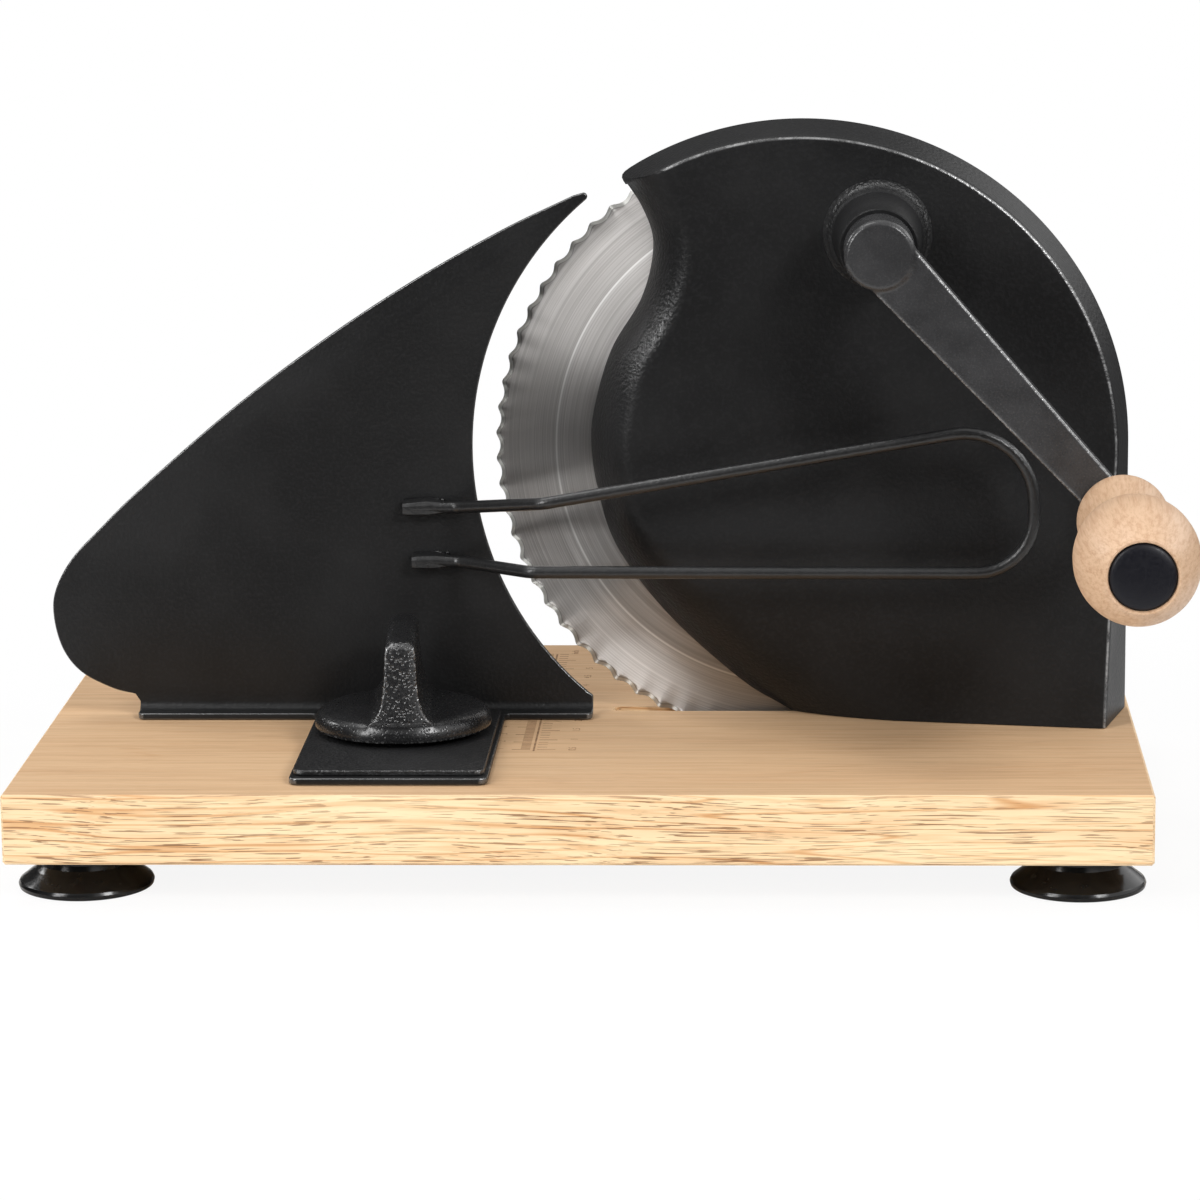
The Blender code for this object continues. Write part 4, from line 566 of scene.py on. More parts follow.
corner_set, given = new_tree(
    "corner_set", Across=0.3, Along=0.15, Middle=(0, 0, 0), Finish="Material"
)
feeds = {"Size X": given["Across"], "Size Y": given["Along"], "Vertices X": 2, "Vertices Y": 2}
grid = result(corner_set, "GeometryNodeMeshGrid", feeds)
feeds = {"Geometry": grid, "Offset": given["Middle"]}
close_copies(corner_set, given, result(corner_set, "GeometryNodeSetPosition", feeds))

grid_size = {
    "Across": (BOARD_LENGTH - 2 * FOOT_SIDE_INSET) * MM,
    "Along": (BOARD_WIDTH - 2 * FOOT_END_INSET) * MM,
    "Middle": at(BOARD_LENGTH / 2, BOARD_WIDTH / 2, 0),
}
foot_profile = round_corners(FOOT_PROFILE, [0.3] * len(FOOT_PROFILE), 3)
foot = to_origin(turned_piece("feet", foot_profile, (0, 0, FOOT_TABLE), "z", 72, rubber))
feet = smooth(grow(foot, corner_set, Finish=rubber, **grid_size), 50)
fit(feet, "base", "rubber", *[f"foot_{corner}" for corner in CORNERS])

work = bmesh.new()
cross_screw(work, 4, 2.2, 2, 21.6, (0, 0, FOOT_TABLE + 6.2))
foot_screw = to_origin(closed_piece("foot_screws", work, plated))
foot_screws = smooth(grow(foot_screw, corner_set, Finish=plated, **grid_size), 35)
fit(foot_screws, "base", "plated_steel", *[f"foot_screw_{corner}" for corner in CORNERS])


# Housing: one hollow aluminium casting, powder coated satin black. Its front face leans back and
# falls away at its lower left, its lip is rolled, its edge is broken, and a boss carries the crank.

BLADE_X = 243.4
BLADE_Z = 87.5
HOUSING_RADIUS = 105
HOUSING_FRONT = 90.4
HOUSING_BACK = 115
HOUSING_BOTTOM = 0.3 - BLADE_Z
HOUSING_WALL = 3
HOUSING_DRAFT = 0.2
HOUSING_SIDE_DRAFT = 0.07
HOUSING_EDGE_ROUND = 1.3
FACE_LEAN = 0.058
FACE_MIDDLE = Vector((27, 4))
FALL_X = 95
FALL_HEIGHT = 65
FALL_RATE = 0.165
LIP_DRAFT = 0.16
LIP_ROLL = 11
LIP_LOW_ROLL = 9
LIP = (
    (-58.2, 87.2), (-51.6, 77.0), (-48.2, 65.5), (-51.8, 49.2), (-61.8, 32.0), (-67.5, 13.0),
    (-68.6, 0.5), (-66.6, -14.5), (-60.5, -33.4), (-44.2, -55.8), (-20.6, -78.0), (-6.6, -87.2),
)
# Marks on the lip's roll, strongest at one height, that raise the coat's gloss and lighten it
# faintly: a painted highlight where the streak of sheen falls.
LIP_SHEEN = ((4, 0.15), (5, 0.35), (6, 0.5), (7, 0.5), (8, 0.4), (9, 0.25), (10, 0.1))
LIP_SHEEN_Z = BLADE_Z + 37
LIP_SHEEN_REACH = 20
# Rows at the broken front edge that the coat paints light grey: a painted highlight along the edge,
# partly worn coat.
EDGE_HIGHLIGHT = ((9, 0.6), (10, 1.0), (11, 0.6))
RIM_OPENING = 101.2
HUB_PAD_RADIUS = 12
HUB_PAD_HEIGHT = 4.6
CRANK_X = 267.37
CRANK_Z = 157.51
BOSS_ROOT = HOUSING_FRONT + FACE_LEAN * (CRANK_Z - BLADE_Z)
BOSS_REACH = 26.2
BOSS_FRONT = HOUSING_FRONT - BOSS_REACH - BOSS_ROOT
# The boss's flare is marked as the edge is: glossier and faintly lighter, a painted highlight.
BOSS_SHEEN_FROM = 16
BOSS_COARSE_FROM = 15
BOSS_SHEEN_TO = 17.7
BOSS_PROFILE = (
    (0, BOSS_FRONT), (11.9, BOSS_FRONT), (12.3, BOSS_FRONT + 0.4), (13.9, -5.4), (14.3, -3.6),
    (15.2, -2.6), (16.2, -1.6), (16.8, -0.6), (17.6, 0.6), (17.8, 2), (0, 2),
)
SCREW_POST_PROFILE = ((0, 1.8), (6, 1.8), (6, 20), (0, 20))
SCREW_LINE_Y = 105.5
SCREW_OFFSETS = (18.6, 56, 91)
COAT_BLACK = (0.0095, 0.0095, 0.0098)


def marked(tree, name):
    """The value of an attribute that a mesh gives its points."""
    return node(tree, "ShaderNodeAttribute", attribute_name=name).outputs["Fac"]


def coat_finish(name, low_rough, high_rough, peel, depth, specular, highlight_share):
    """A sprayed black coat. The peel is the width of its small waves, and depth their height."""
    finish, tree, shader, place = new_finish(name, COAT_BLACK, low_rough, 0, specular)
    wave = grain(tree, place, 1 / peel, 2, 0.45, 0.2)
    broad = between(tree, grain(tree, place, 26), 0.3, 0.7)
    lighter = tuple(1.35 * c + 0.001 for c in COAT_BLACK)
    crest = tuple(2.2 * c for c in COAT_BLACK)
    mixed = blended(tree, broad, COAT_BLACK, lighter)
    mixed = blended(tree, between(tree, wave, 0.45, 0.68, 0.0, 0.3), mixed, crest)
    # Marked points are painted light grey by the highlight share, and made glossier: a painted
    # highlight along the edges, partly worn coat.
    edge = marked(tree, "edge")
    breaks = between(tree, grain(tree, place, 150, 4, 0.7), 0.42, 0.6, 0.15, 1.0)
    shine = multiplied(tree, between(tree, edge, 0.45, 0.95), breaks)
    mixed = blended(tree, multiplied(tree, shine, highlight_share), mixed, (0.42, 0.42, 0.42))
    rough = between(tree, grain(tree, place, 26), 0.3, 0.7, low_rough, high_rough)
    rough = multiplied(tree, rough, between(tree, edge, 0.1, 0.8, 1.0, 0.6))
    gloss = between(tree, edge, 0.1, 0.8, specular, 1.0)
    feed(shader, {"Base Color": mixed, "Roughness": rough, "Specular IOR Level": gloss})
    raised = between(tree, marked(tree, "coarse"), 0.0, 1.0, 1.0, 4.0)
    bumped(tree, shader, multiplied(tree, wave, raised), depth)
    return finish


def curve_through(points, steps):
    """A smooth path through the places, with a number of steps from each one to the next."""
    spots = [Vector(p) for p in points]
    spots = [2 * spots[0] - spots[1]] + spots + [2 * spots[-1] - spots[-2]]
    found = []
    for p0, p1, p2, p3 in zip(spots, spots[1:], spots[2:], spots[3:]):
        for i in range(steps):
            t = i / steps
            bend = (2 * p0 - 5 * p1 + 4 * p2 - p3) * t**2 + (3 * p1 - p0 - 3 * p2 + p3) * t**3
            found.append(0.5 * (2 * p1 + (p2 - p0) * t + bend))
    return found + [spots[-2]]


def arc(centre, radius, start, end, steps):
    """Places on an arc about the centre, from one angle to another."""
    turns = [start + (end - start) * i / steps for i in range(steps + 1)]
    return [centre + radius * Vector((math.cos(t), math.sin(t))) for t in turns]


def fall_share(z):
    """How far down a place lies in the band where the face falls away, from 0 to 1."""
    return max(0.0, 1 - (z + BLADE_Z) / FALL_HEIGHT)


def housing_front(x, z):
    """The depth of the front face at a place from the blade's centre."""
    return HOUSING_FRONT + FACE_LEAN * z + FALL_RATE * max(0.0, FALL_X - x) * fall_share(z) ** 2


def housing_outline(arc_steps, lip_steps, side_steps):
    """The outline at the back with each edge's kind, from the lower right corner round."""
    lip = [Vector(p) for p in LIP]
    lip[-1].y = HOUSING_BOTTOM
    tip = math.atan2(lip[0].y, lip[0].x)
    crown = arc(Vector((0, 0)), HOUSING_RADIUS, 0, tip, arc_steps)
    lip[0] = crown.pop()
    edge = curve_through(lip, lip_steps)
    left, right, low = edge[-1].x, HOUSING_RADIUS, HOUSING_BOTTOM
    side = [Vector((right, low * (1 - i / side_steps))) for i in range(side_steps)]
    floor = [left + (right - left) * i / side_steps for i in range(1, side_steps)]
    floor = [Vector((x, low)) for x in floor]
    kinds = ["side"] * side_steps + ["arc"] * arc_steps
    kinds += ["lip"] * (len(edge) - 1) + ["base"] * side_steps
    return side + crown + edge + floor, kinds


def inset_outline(points, insets):
    """The outline with each edge moved inwards by its own inset. Edge i leaves point i."""
    found = []
    for i, here in enumerate(points):
        before = (here - points[i - 1]).normalized()
        after = (points[(i + 1) % len(points)] - here).normalized()
        in_before, in_after = Vector((-before.y, before.x)), Vector((-after.y, after.x))
        first, second = insets[i - 1], insets[i]
        cross = in_before.x * in_after.y - in_before.y * in_after.x
        if abs(cross) > 0.3:
            x = (first * in_after.y - second * in_before.y) / cross
            z = (second * in_before.x - first * in_after.x) / cross
            found.append(here + Vector((x, z)))
        else:
            found.append(here + (in_before + in_after).normalized() * (first + second) / 2)
    return found


def housing_ring(outline, kinds, forward, wall=0.0, shrink=1.0):
    """A section of the casting at a share of the way to its front, as places on the board."""

    def depth(x, z):
        return HOUSING_BACK - wall + forward * (housing_front(x, z) - HOUSING_BACK + 2 * wall)

    def broken(length, full):
        """How far the broken edge has turned in, near the front."""
        past = max(0.0, length - full + HOUSING_EDGE_ROUND) / HOUSING_EDGE_ROUND
        return HOUSING_EDGE_ROUND * (1 - math.sqrt(max(0.0, 1 - min(past, 1.0) ** 2)))

    insets = []
    for i, (spot, kind) in enumerate(zip(outline, kinds)):
        length = HOUSING_BACK - depth(spot.x, spot.y)
        full = HOUSING_BACK - housing_front(spot.x, spot.y)
        if kind == "base":
            insets.append(wall)
        elif kind == "lip":
            roll = LIP_ROLL + LIP_LOW_ROLL * fall_share(spot.y)
            roll *= 1 - math.sqrt(1 - min(length / full, 1.0) ** 2)
            insets.append(wall + LIP_DRAFT * length + roll)
        else:
            rest = HOUSING_SIDE_DRAFT * (1 - i / kinds.count("side")) if kind == "side" else 0
            insets.append(wall + (HOUSING_DRAFT + rest) * length + broken(length, full))
    ring = inset_outline(outline, insets)
    low, first, last = kinds.index("arc"), kinds.index("lip"), kinds.index("base")

    def arc_radius(z):
        length = HOUSING_BACK - depth(0, z)
        full = HOUSING_BACK - housing_front(0, z)
        return HOUSING_RADIUS - wall - HOUSING_DRAFT * length - broken(length, full)

    lip = ring[first + 1:last]
    lip = [lip[0] + 3 * (lip[0] - lip[1])] + lip
    past = [spot.length - arc_radius(spot.y) for spot in lip]
    inside = next(i for i in range(1, len(lip)) if past[i] < 0)
    share = past[inside - 1] / (past[inside - 1] - past[inside])
    beak = lip[inside - 1].lerp(lip[inside], share)
    turn = math.atan2(beak.y, beak.x)
    turns = [turn * i / (first - low) for i in range(first - low)]
    radii = [arc_radius(HOUSING_RADIUS * math.sin(t)) for t in turns]
    crown = [Vector((r * math.cos(t), r * math.sin(t))) for r, t in zip(radii, turns)]
    top = [beak.lerp(lip[inside], i / inside) for i in range(inside)]
    ring = ring[:low] + crown + top + lip[inside:] + ring[last:]
    spare = len(ring) - last
    for i in range(1, spare):
        ring[last + i] = ring[last].lerp(ring[0], i / spare)
    for _ in range(3):
        eased = list(ring)
        for i in range(first - 3, first + 4):
            eased[i] = (ring[i - 1] + 2 * ring[i] + ring[i + 1]) / 4
        ring = eased
    spots = [FACE_MIDDLE.lerp(spot, shrink) for spot in ring]
    return [at(BLADE_X + x, depth(x, z), BLADE_Z + z) for x, z in spots]


cast_coat = coat_finish("cast_powder_coat", 0.36, 0.44, 0.0012, 0.0002, 0.13, 0.55)
outline, kinds = housing_outline(110, 10, 14)
forwards = [math.sin(math.radians(t)) for t in (0, 14, 27, 38, 48, 57, 64.5)]
edge_share = HOUSING_EDGE_ROUND / (HOUSING_BACK - HOUSING_FRONT)
edge_turns = [math.radians(t) for t in (0, 18, 36, 54, 72, 90)]
forwards += [1 - edge_share + edge_share * math.sin(t) for t in edge_turns]
rings = [housing_ring(outline, kinds, forward) for forward in forwards]
for share in (0.985, 0.95, 0.9, 0.82, 0.72, 0.62, 0.5, 0.38, 0.25, 0.12):
    rings.append(housing_ring(outline, kinds, 1, shrink=share))
work = bmesh.new()
edge_sheen = work.verts.layers.float.new("edge")
grainy = work.verts.layers.float.new("coarse")
rows = skin(work, rings, (-1,))
# The edge's rows and the lip's roll get their marks: the painted highlight along the edge and the
# painted sheen on the lip.
for row, sheen in EDGE_HIGHLIGHT:
    for vert, kind in zip(rows[row], kinds):
        if kind in ("arc", "side"):
            vert[edge_sheen] = sheen
for row, sheen in LIP_SHEEN:
    for vert, kind in zip(rows[row], kinds):
        if kind == "lip":
            away = (vert.co.z - at(0, 0, LIP_SHEEN_Z).z) / (LIP_SHEEN_REACH * MM)
            vert[edge_sheen] = sheen * math.exp(-(away**2))
            vert[grainy] = 2 * sheen * math.exp(-(away**2))
housing = closed_piece("housing_casting", work, cast_coat)

coarse, coarse_kinds = housing_outline(46, 4, 5)
inner_rings = ((0, 1), (0.5, 1), (0.9, 1), (1, 1), (1, 0.8), (1, 0.5), (1, 0.2))
work = bmesh.new()
skin(work, [housing_ring(coarse, coarse_kinds, f, HOUSING_WALL, s) for f, s in inner_rings])
hollow = closed_piece("hollow", work, cast_coat)
opening_profile = [(0, -4), (RIM_OPENING, -4), (RIM_OPENING, 1), (0, 1)]
opening_middle = (BLADE_X, HOUSING_BACK, BLADE_Z)
opening = turned_piece("opening", opening_profile, opening_middle, "y", 160, cast_coat)
for cutter in (hollow, opening):
    cut = housing.modifiers.new(cutter.name, "BOOLEAN")
    cut.object = cutter
    cut.solver = "EXACT"
settle(housing)

work = bmesh.new()
work.from_mesh(housing.data)
edge_sheen = work.verts.layers.float["edge"]
grainy = work.verts.layers.float["coarse"]
before_boss = len(work.verts)
turned(work, BOSS_PROFILE, (CRANK_X, BOSS_ROOT, CRANK_Z), "y", 96)
crank_spot = at(CRANK_X, BOSS_ROOT, CRANK_Z)
# Marks the boss's flare for its painted highlight and its coarser peel.
for vert in list(work.verts)[before_boss:]:
    reach = math.hypot(vert.co.x - crank_spot.x, vert.co.z - crank_spot.z) / MM
    vert[edge_sheen] = 0.5 if BOSS_SHEEN_FROM < reach < BOSS_SHEEN_TO else 0.0
    vert[grainy] = 0.6 if BOSS_COARSE_FROM < reach < BOSS_SHEEN_TO else 0.0
inner = HOUSING_FRONT + HOUSING_WALL
for x, z, low in ((BLADE_X, BLADE_Z, inner - 1.5), (CRANK_X, CRANK_Z, BOSS_ROOT + 1.5)):
    high = inner + HUB_PAD_HEIGHT
    pad = [(0, low), (HUB_PAD_RADIUS, low), (HUB_PAD_RADIUS, high), (0, high)]
    turned(work, pad, (x, 0, z), "y", 48)
for offset in SCREW_OFFSETS:
    turned(work, SCREW_POST_PROFILE, (BLADE_X + offset, SCREW_LINE_Y, 0), "z", 32)
for spent in (hollow, opening, housing):
    bpy.data.objects.remove(spent, do_unlink=True)
housing = smooth(closed_piece("housing_casting", work, cast_coat), 28)
fit(housing, "base", "black_cast", "housing")


# Housing screws: three pan-head steel screws, sunk in the board's underside and driven up into
# the casting's bosses.

screw_row, given = new_tree("screw_row", Places="Object", Finish="Material")
spots = node(screw_row, "GeometryNodeObjectInfo", {"Object": given["Places"]})
close_copies(screw_row, given, spots.outputs["Geometry"])

spots_mesh = bpy.data.meshes.new("screw_places")
spots_mesh.from_pydata([at(BLADE_X + x, SCREW_LINE_Y, 0) for x in SCREW_OFFSETS], [], [])
screw_places = link_piece("screw_places", spots_mesh)
work = bmesh.new()
cross_screw(work, 4.2, 2.6, 2, 33.3, (0, 0, -18.3))
housing_screw = to_origin(closed_piece("housing_screws", work, plated))
housing_screws = grow(housing_screw, screw_row, Places=screw_places, Finish=plated)
bpy.data.objects.remove(screw_places, do_unlink=True)
screw_names = [f"housing_screw_{i}" for i in (1, 2, 3)]
fit(smooth(housing_screws, 35), "base", "plated_steel", *screw_names)


# Bearings: a steel axle fixed in the housing and bronze bushes for the blade and the crank, with
# a thrust washer behind each hub. They keep their solids and take machined finishes.

bronze, tree, shader, place = new_finish("bearing_bronze", (0.55, 0.36, 0.18), 0.36, 1)
speck = grain(tree, place, 900)
color = blended(tree, between(tree, speck, 0.35, 0.7), (0.60, 0.40, 0.2), (0.40, 0.25, 0.12))
feed(shader, {"Base Color": color, "Roughness": between(tree, speck, 0.3, 0.7, 0.3, 0.46)})
refinish(bronze, "blade_bush", "crank_bush")
refinish(plated, "blade_axle", "blade_thrust_washer", "crank_thrust_washer", "crank_shaft")


# Gears: a large moulded nylon gear riveted to the blade, and a small steel pinion on the crank's
# shaft that drives it. Both keep their involute solids.

nylon, tree, shader, place = new_finish("gear_nylon", (0.74, 0.73, 0.68), 0.42)
mottle = between(tree, grain(tree, place, 180, 4), 0.3, 0.7)
feed(shader, {"Base Color": blended(tree, mottle, (0.77, 0.76, 0.71), (0.68, 0.67, 0.61))})
bumped(tree, shader, grain(tree, place, 1200, 2), 0.00003)
refinish(nylon, "blade_gear")
refinish(plated, "pinion")


# Blade: a round knife of ground stainless steel with 73 waves in its edge. Both its faces are
# brushed in rings and bevelled towards the edge, its rim is ground bright, and a small disc of
# the same steel fills its middle.

BLADE_PLANE = 113.5
BLADE_TIP = 98.7
BLADE_TEETH = 73
BLADE_TOOTH = 1.4
BLADE_HALF = 0.6
BLADE_BORE = 28
BLADE_MIDDLE = (BLADE_X, BLADE_PLANE, BLADE_Z)
BLADE_PROFILE = (
    (BLADE_BORE, -0.48), (BLADE_BORE + 0.15, -BLADE_HALF), (40, -BLADE_HALF),
    (54.8, -BLADE_HALF), (55.3, -0.55), (55.8, -BLADE_HALF), (78.9, -BLADE_HALF), (79.4, -0.57),
    (88, -0.42), (95.7, -0.30), (97.3, -0.27), (97.5, -0.22), (98.55, -0.08), (BLADE_TIP, 0.0),
    (98.55, 0.08), (97.4, 0.2), (95.7, 0.26), (90, 0.42), (85.4, 0.58), (84.9, BLADE_HALF),
    (55.8, BLADE_HALF), (55.3, 0.55), (54.8, BLADE_HALF), (40, BLADE_HALF),
    (BLADE_BORE + 0.15, BLADE_HALF), (BLADE_BORE, 0.48),
)
HUB_DISC_PROFILE = (
    (2.8, -0.6), (26.8, -0.6), (27, -0.4), (27, 0.4), (26.8, 0.6), (14, 0.6), (2.8, 0.6),
)
BRUSH_TURN = 0.07

steel, tree, shader, _ = new_finish("brushed_blade_steel", (0.62, 0.60, 0.58), 0.26, 1)
path = result(tree, "ShaderNodeUVMap", uv_map="Ring")
radius = parts(tree, path)["Y"]
fine = grain(tree, path, (9, 2600, 1), 3, 0.6)
coarse_rings = grain(tree, path, (4, 520, 1), 4, 0.65)
wide = grain(tree, path, (5, 60, 1))


def band(tree, value, start, full, fading, end):
    """A share that is full in the middle of a span of the value and fades at its two ends."""
    rise, fall = between(tree, value, start, full), between(tree, value, fading, end, 1.0, 0.0)
    return multiplied(tree, rise, fall)


shade_line = multiplied(tree, band(tree, radius, 0.0969, 0.0973, 0.0973, 0.0976), 0.7)
ground = multiplied(tree, between(tree, radius, 0.09735, 0.0976), 0.85)
# A bright ring painted where the bevel starts: a painted highlight.
bevel_highlight = multiplied(tree, band(tree, radius, 0.0787, 0.0790, 0.0793, 0.0796), 0.7)
# A dark ring painted over the gap between the hub disc and the blade's bore: painted shade.
gap_shade = band(tree, radius, 0.0264, 0.0267, 0.0282, 0.0285)
color = blended(tree, between(tree, fine, 0.3, 0.7), (0.60, 0.58, 0.565), (0.45, 0.43, 0.415))
for share, tone in (
    (between(tree, coarse_rings, 0.35, 0.75, 0.0, 0.34), (0.34, 0.325, 0.31)),
    (shade_line, (0.20, 0.20, 0.19)),
    (ground, (0.66, 0.66, 0.63)),
    (bevel_highlight, (0.88, 0.87, 0.85)),
    (gap_shade, (0.02, 0.02, 0.02)),
):
    color = blended(tree, share, color, tone)
brushed = between(tree, fine, 0.25, 0.75, 0.34, 0.48)
rough = figured(tree, "ADD", brushed, between(tree, wide, 0.3, 0.7, 0, 0.06))
tangent = result(tree, "ShaderNodeTangent", direction_type="UV_MAP", uv_map="Ring")
feed(shader, {"Base Color": color, "Roughness": rough, "Tangent": tangent})
feed(shader, {"Anisotropic": 1.0, "Anisotropic Rotation": 0.25})
bumped(tree, shader, fine, 0.000006)
bumped(tree, shader, coarse_rings, 0.00001)


def ringed(name, profile, steps, finish, wave=None):
    """A turned plate with a UV map of rings: u runs round it and v out from its axis, in metres.

    A wave pulls the points at the edge in, and gives the pull for a turn and a radius.
    """
    work = bmesh.new()
    layer = work.loops.layers.uv.new("Ring")
    rows = []
    for radius, along in profile:
        row = []
        for i in range(steps):
            t = 2 * math.pi * i / steps
            r = radius - (wave(t, radius) if wave else 0)
            spot = beside(BLADE_MIDDLE, "y", r * math.cos(t), r * math.sin(t), along)
            row.append((work.verts.new(spot), t, radius))
        rows.append(row)
    for near, far in zip(rows, rows[1:] + rows[:1]):
        for i in range(steps):
            j = (i + 1) % steps
            corners = [near[i], near[j], far[j], far[i]]
            face = work.faces.new([c[0] for c in corners])
            for loop, (_, t, r) in zip(face.loops, corners):
                turn = t + (2 * math.pi if j == 0 and t == 0 else 0)
                loop[layer].uv = (turn * BRUSH_TURN, r * MM)
    bmesh.ops.recalc_face_normals(work, faces=work.faces)
    return new_piece(name, work, finish)


def tooth_wave(turn, radius):
    """The waves are full over the ground rim and fade just inside it."""
    fade = min(max((radius - BLADE_TIP + 3.0) / 1.6, 0.0), 1.0)
    dip = 0.5 - 0.5 * math.cos(BLADE_TEETH * turn)
    lean = 0.5 - 0.5 * math.cos(BLADE_TEETH * turn + 0.55 * math.sin(BLADE_TEETH * turn))
    return BLADE_TOOTH * (0.4 * dip + 0.6 * lean) * fade


blade = ringed("round_blade", BLADE_PROFILE, 12 * BLADE_TEETH, steel, tooth_wave)
fit(smooth(blade, 12), "blade_unit", "blade_steel", "blade")
hub = ringed("hub_disc_brushed", HUB_DISC_PROFILE, 180, steel)
fit(smooth(hub, 20), "blade_unit", "blade_steel", "hub_disc")


# Rivets: three bright domed rivets on a circle round the hub, through the blade and its gear,
# each with a flat head behind the gear.

RIVET_CIRCLE = 40
RIVET_PROFILE = (
    (0, 1.25), (2.0, 1.22), (3.2, 1.12), (3.9, 0.92), (4.3, 0.62), (4.4, 0.38), (4.2, 0.3),
    (2.2, 0.3), (2.2, -8.8), (4.2, -8.8), (4.4, -9.0), (4.4, -10.0), (4.0, -10.3), (0, -10.3),
)
blade_back = BLADE_PLANE + BLADE_HALF

ring_set, given = new_tree(
    "rivet_ring", Count=3, Circle=0.04, First=0.0, Middle=(0, 0, 0), Finish="Material"
)
feeds = {"Vertices": given["Count"], "Radius": given["Circle"]}
circle = result(ring_set, "GeometryNodeMeshCircle", feeds)
turn = result(ring_set, "ShaderNodeCombineXYZ", {"Z": given["First"]})
feeds = {"Geometry": circle, "Rotation": turn}
circle = result(ring_set, "GeometryNodeTransform", feeds)
feeds = {"Geometry": circle, "Rotation": (math.pi / 2, 0, 0), "Translation": given["Middle"]}
close_copies(ring_set, given, result(ring_set, "GeometryNodeTransform", feeds))

bright, tree, shader, place = new_finish("bright_rivet_steel", (0.74, 0.74, 0.73), 0.3, 1)
feed(shader, {"Roughness": between(tree, grain(tree, place, 900), 0.3, 0.75, 0.26, 0.42)})
bumped(tree, shader, grain(tree, place, 420, 2), 0.00002)

rivet = to_origin(turned_piece("blade_rivets", RIVET_PROFILE, (0, 0, 0), "y", 32, bright))
rivets = grow(
    rivet,
    ring_set,
    Count=3,
    Circle=RIVET_CIRCLE * MM,
    First=-math.pi / 2,
    Middle=at(BLADE_X, blade_back, BLADE_Z),
    Finish=bright,
)
rivet_names = [f"blade_rivet_{i}" for i in (1, 2, 3)]
fit(smooth(rivets, 40), "blade_unit", "plated_steel", *rivet_names)


# Centre screw and washer: a bright cross-head screw in the end of the axle and the plated washer
# under its head, which together hold the blade on.

WASHER_PROFILE = ((2.8, 0.3), (5.3, 0.3), (5.5, 0.5), (5.5, 1.1), (5.2, 1.3), (2.8, 1.3))

washer_middle = (BLADE_X, blade_back, BLADE_Z)
washer = turned_piece("centre_washer_turned", WASHER_PROFILE, washer_middle, "y", 48, plated)
fit(smooth(washer, 30), "base", "plated_steel", "centre_washer")
work = bmesh.new()
cross_screw(work, 4.2, 2.7, 2.5, 13, (BLADE_X, blade_back + 1.6, BLADE_Z), "y", 1)
centre_screw = smooth(closed_piece("centre_screw_crosshead", work, bright), 35)
fit(centre_screw, "base", "plated_steel", "centre_screw")


# Crank arm: a tapered iron bar cast in one with its round hub, in a hammered black coat that
# pools in small dimples and shines on its edges. Its hub is pressed on the crank's shaft.

ARM_LENGTH = 110.6
ARM_ANGLE = math.radians(-47.5)
ARM_FRONT = 47
ARM_BACK = 56
ARM_ROOT = 5
ARM_ROOT_HALF = 9.2
ARM_EYE = 7.5
ARM_EYE_HALF = 6
ARM_EDGE = 0.5
HUB_RADIUS = 11.0
HUB_FRONT = ARM_FRONT - 1.4
HUB_BACK = 63.9
HUB_PROFILE = (
    (0, HUB_FRONT), (9.6, HUB_FRONT), (10.4, HUB_FRONT + 0.5), (HUB_RADIUS, HUB_FRONT + 1.6),
    (HUB_RADIUS, HUB_BACK), (0, HUB_BACK),
)
FULL_TURN_MARK = 0.6


def hammered_finish(name, color, dimple_depth, specular, full_height=None):
    """A glossy black coat with small dimples, flat on top faces, and edges painted lighter: partly
    wear, partly a painted highlight.

    The dimples are shallow below the full height, in metres, where one is given.
    """
    finish, tree, shader, place = new_finish(name, color, 0.25, 0, specular)
    feeds = {"Vector": place, "Scale": 950.0, "Smoothness": 0.4}
    cells = result(tree, "ShaderNodeTexVoronoi", feeds, feature="SMOOTH_F1")
    pits = grain(tree, place, 1300, 2, 0.5, 0.4)
    lighter = tuple(1.5 * c for c in color)
    mixed = blended(tree, between(tree, grain(tree, place, 90), 0.3, 0.7), color, lighter)
    edge = marked(tree, "edge")
    sparks = between(tree, grain(tree, place, 900, 3, 0.6), 0.48, 0.6)
    # Marked edges are painted lighter grey in broken sparks: a painted highlight, partly worn coat.
    edge_sheen = multiplied(tree, between(tree, edge, 0.15, 0.7), sparks)
    mixed = blended(tree, multiplied(tree, edge_sheen, 0.25), mixed, (0.5, 0.5, 0.5))
    shine = between(tree, edge, 0.1, 0.6, specular, 1.0)
    facing = parts(tree, node(tree, "ShaderNodeTexCoord").outputs["Normal"])
    side_on = between(tree, facing["Z"], 0.75, 0.97, 1.0, 0.1)
    dimples = multiplied(tree, between(tree, cells, 0.0, 0.45), side_on)
    if full_height:
        height = parts(tree, place)["Z"]
        grown = between(tree, height, full_height - 2 * MM, full_height, 0.3, 1.0)
        dimples = multiplied(tree, dimples, grown)
        shine = figured(tree, "ADD", shine, multiplied(tree, grown, 0.7))
    rough = between(tree, pits, 0.3, 0.75, 0.2, 0.32)
    feed(shader, {"Base Color": mixed, "Roughness": rough, "Specular IOR Level": shine})
    bumped(tree, shader, dimples, dimple_depth)
    bumped(tree, shader, pits, 0.00003, 0.6)
    return finish


def cast_skin(piece, voxel, finish):
    """Melts overlapping solids into one casting with soft joints, and evens its skin."""
    melt = piece.modifiers.new("melt", "REMESH")
    melt.mode = "VOXEL"
    melt.voxel_size = voxel * MM
    ease = piece.modifiers.new("ease", "SMOOTH")
    ease.factor = 0.5
    ease.iterations = 3
    settle(piece)
    piece.data.materials.clear()
    piece.data.materials.append(finish)
    return smooth(piece, 60)


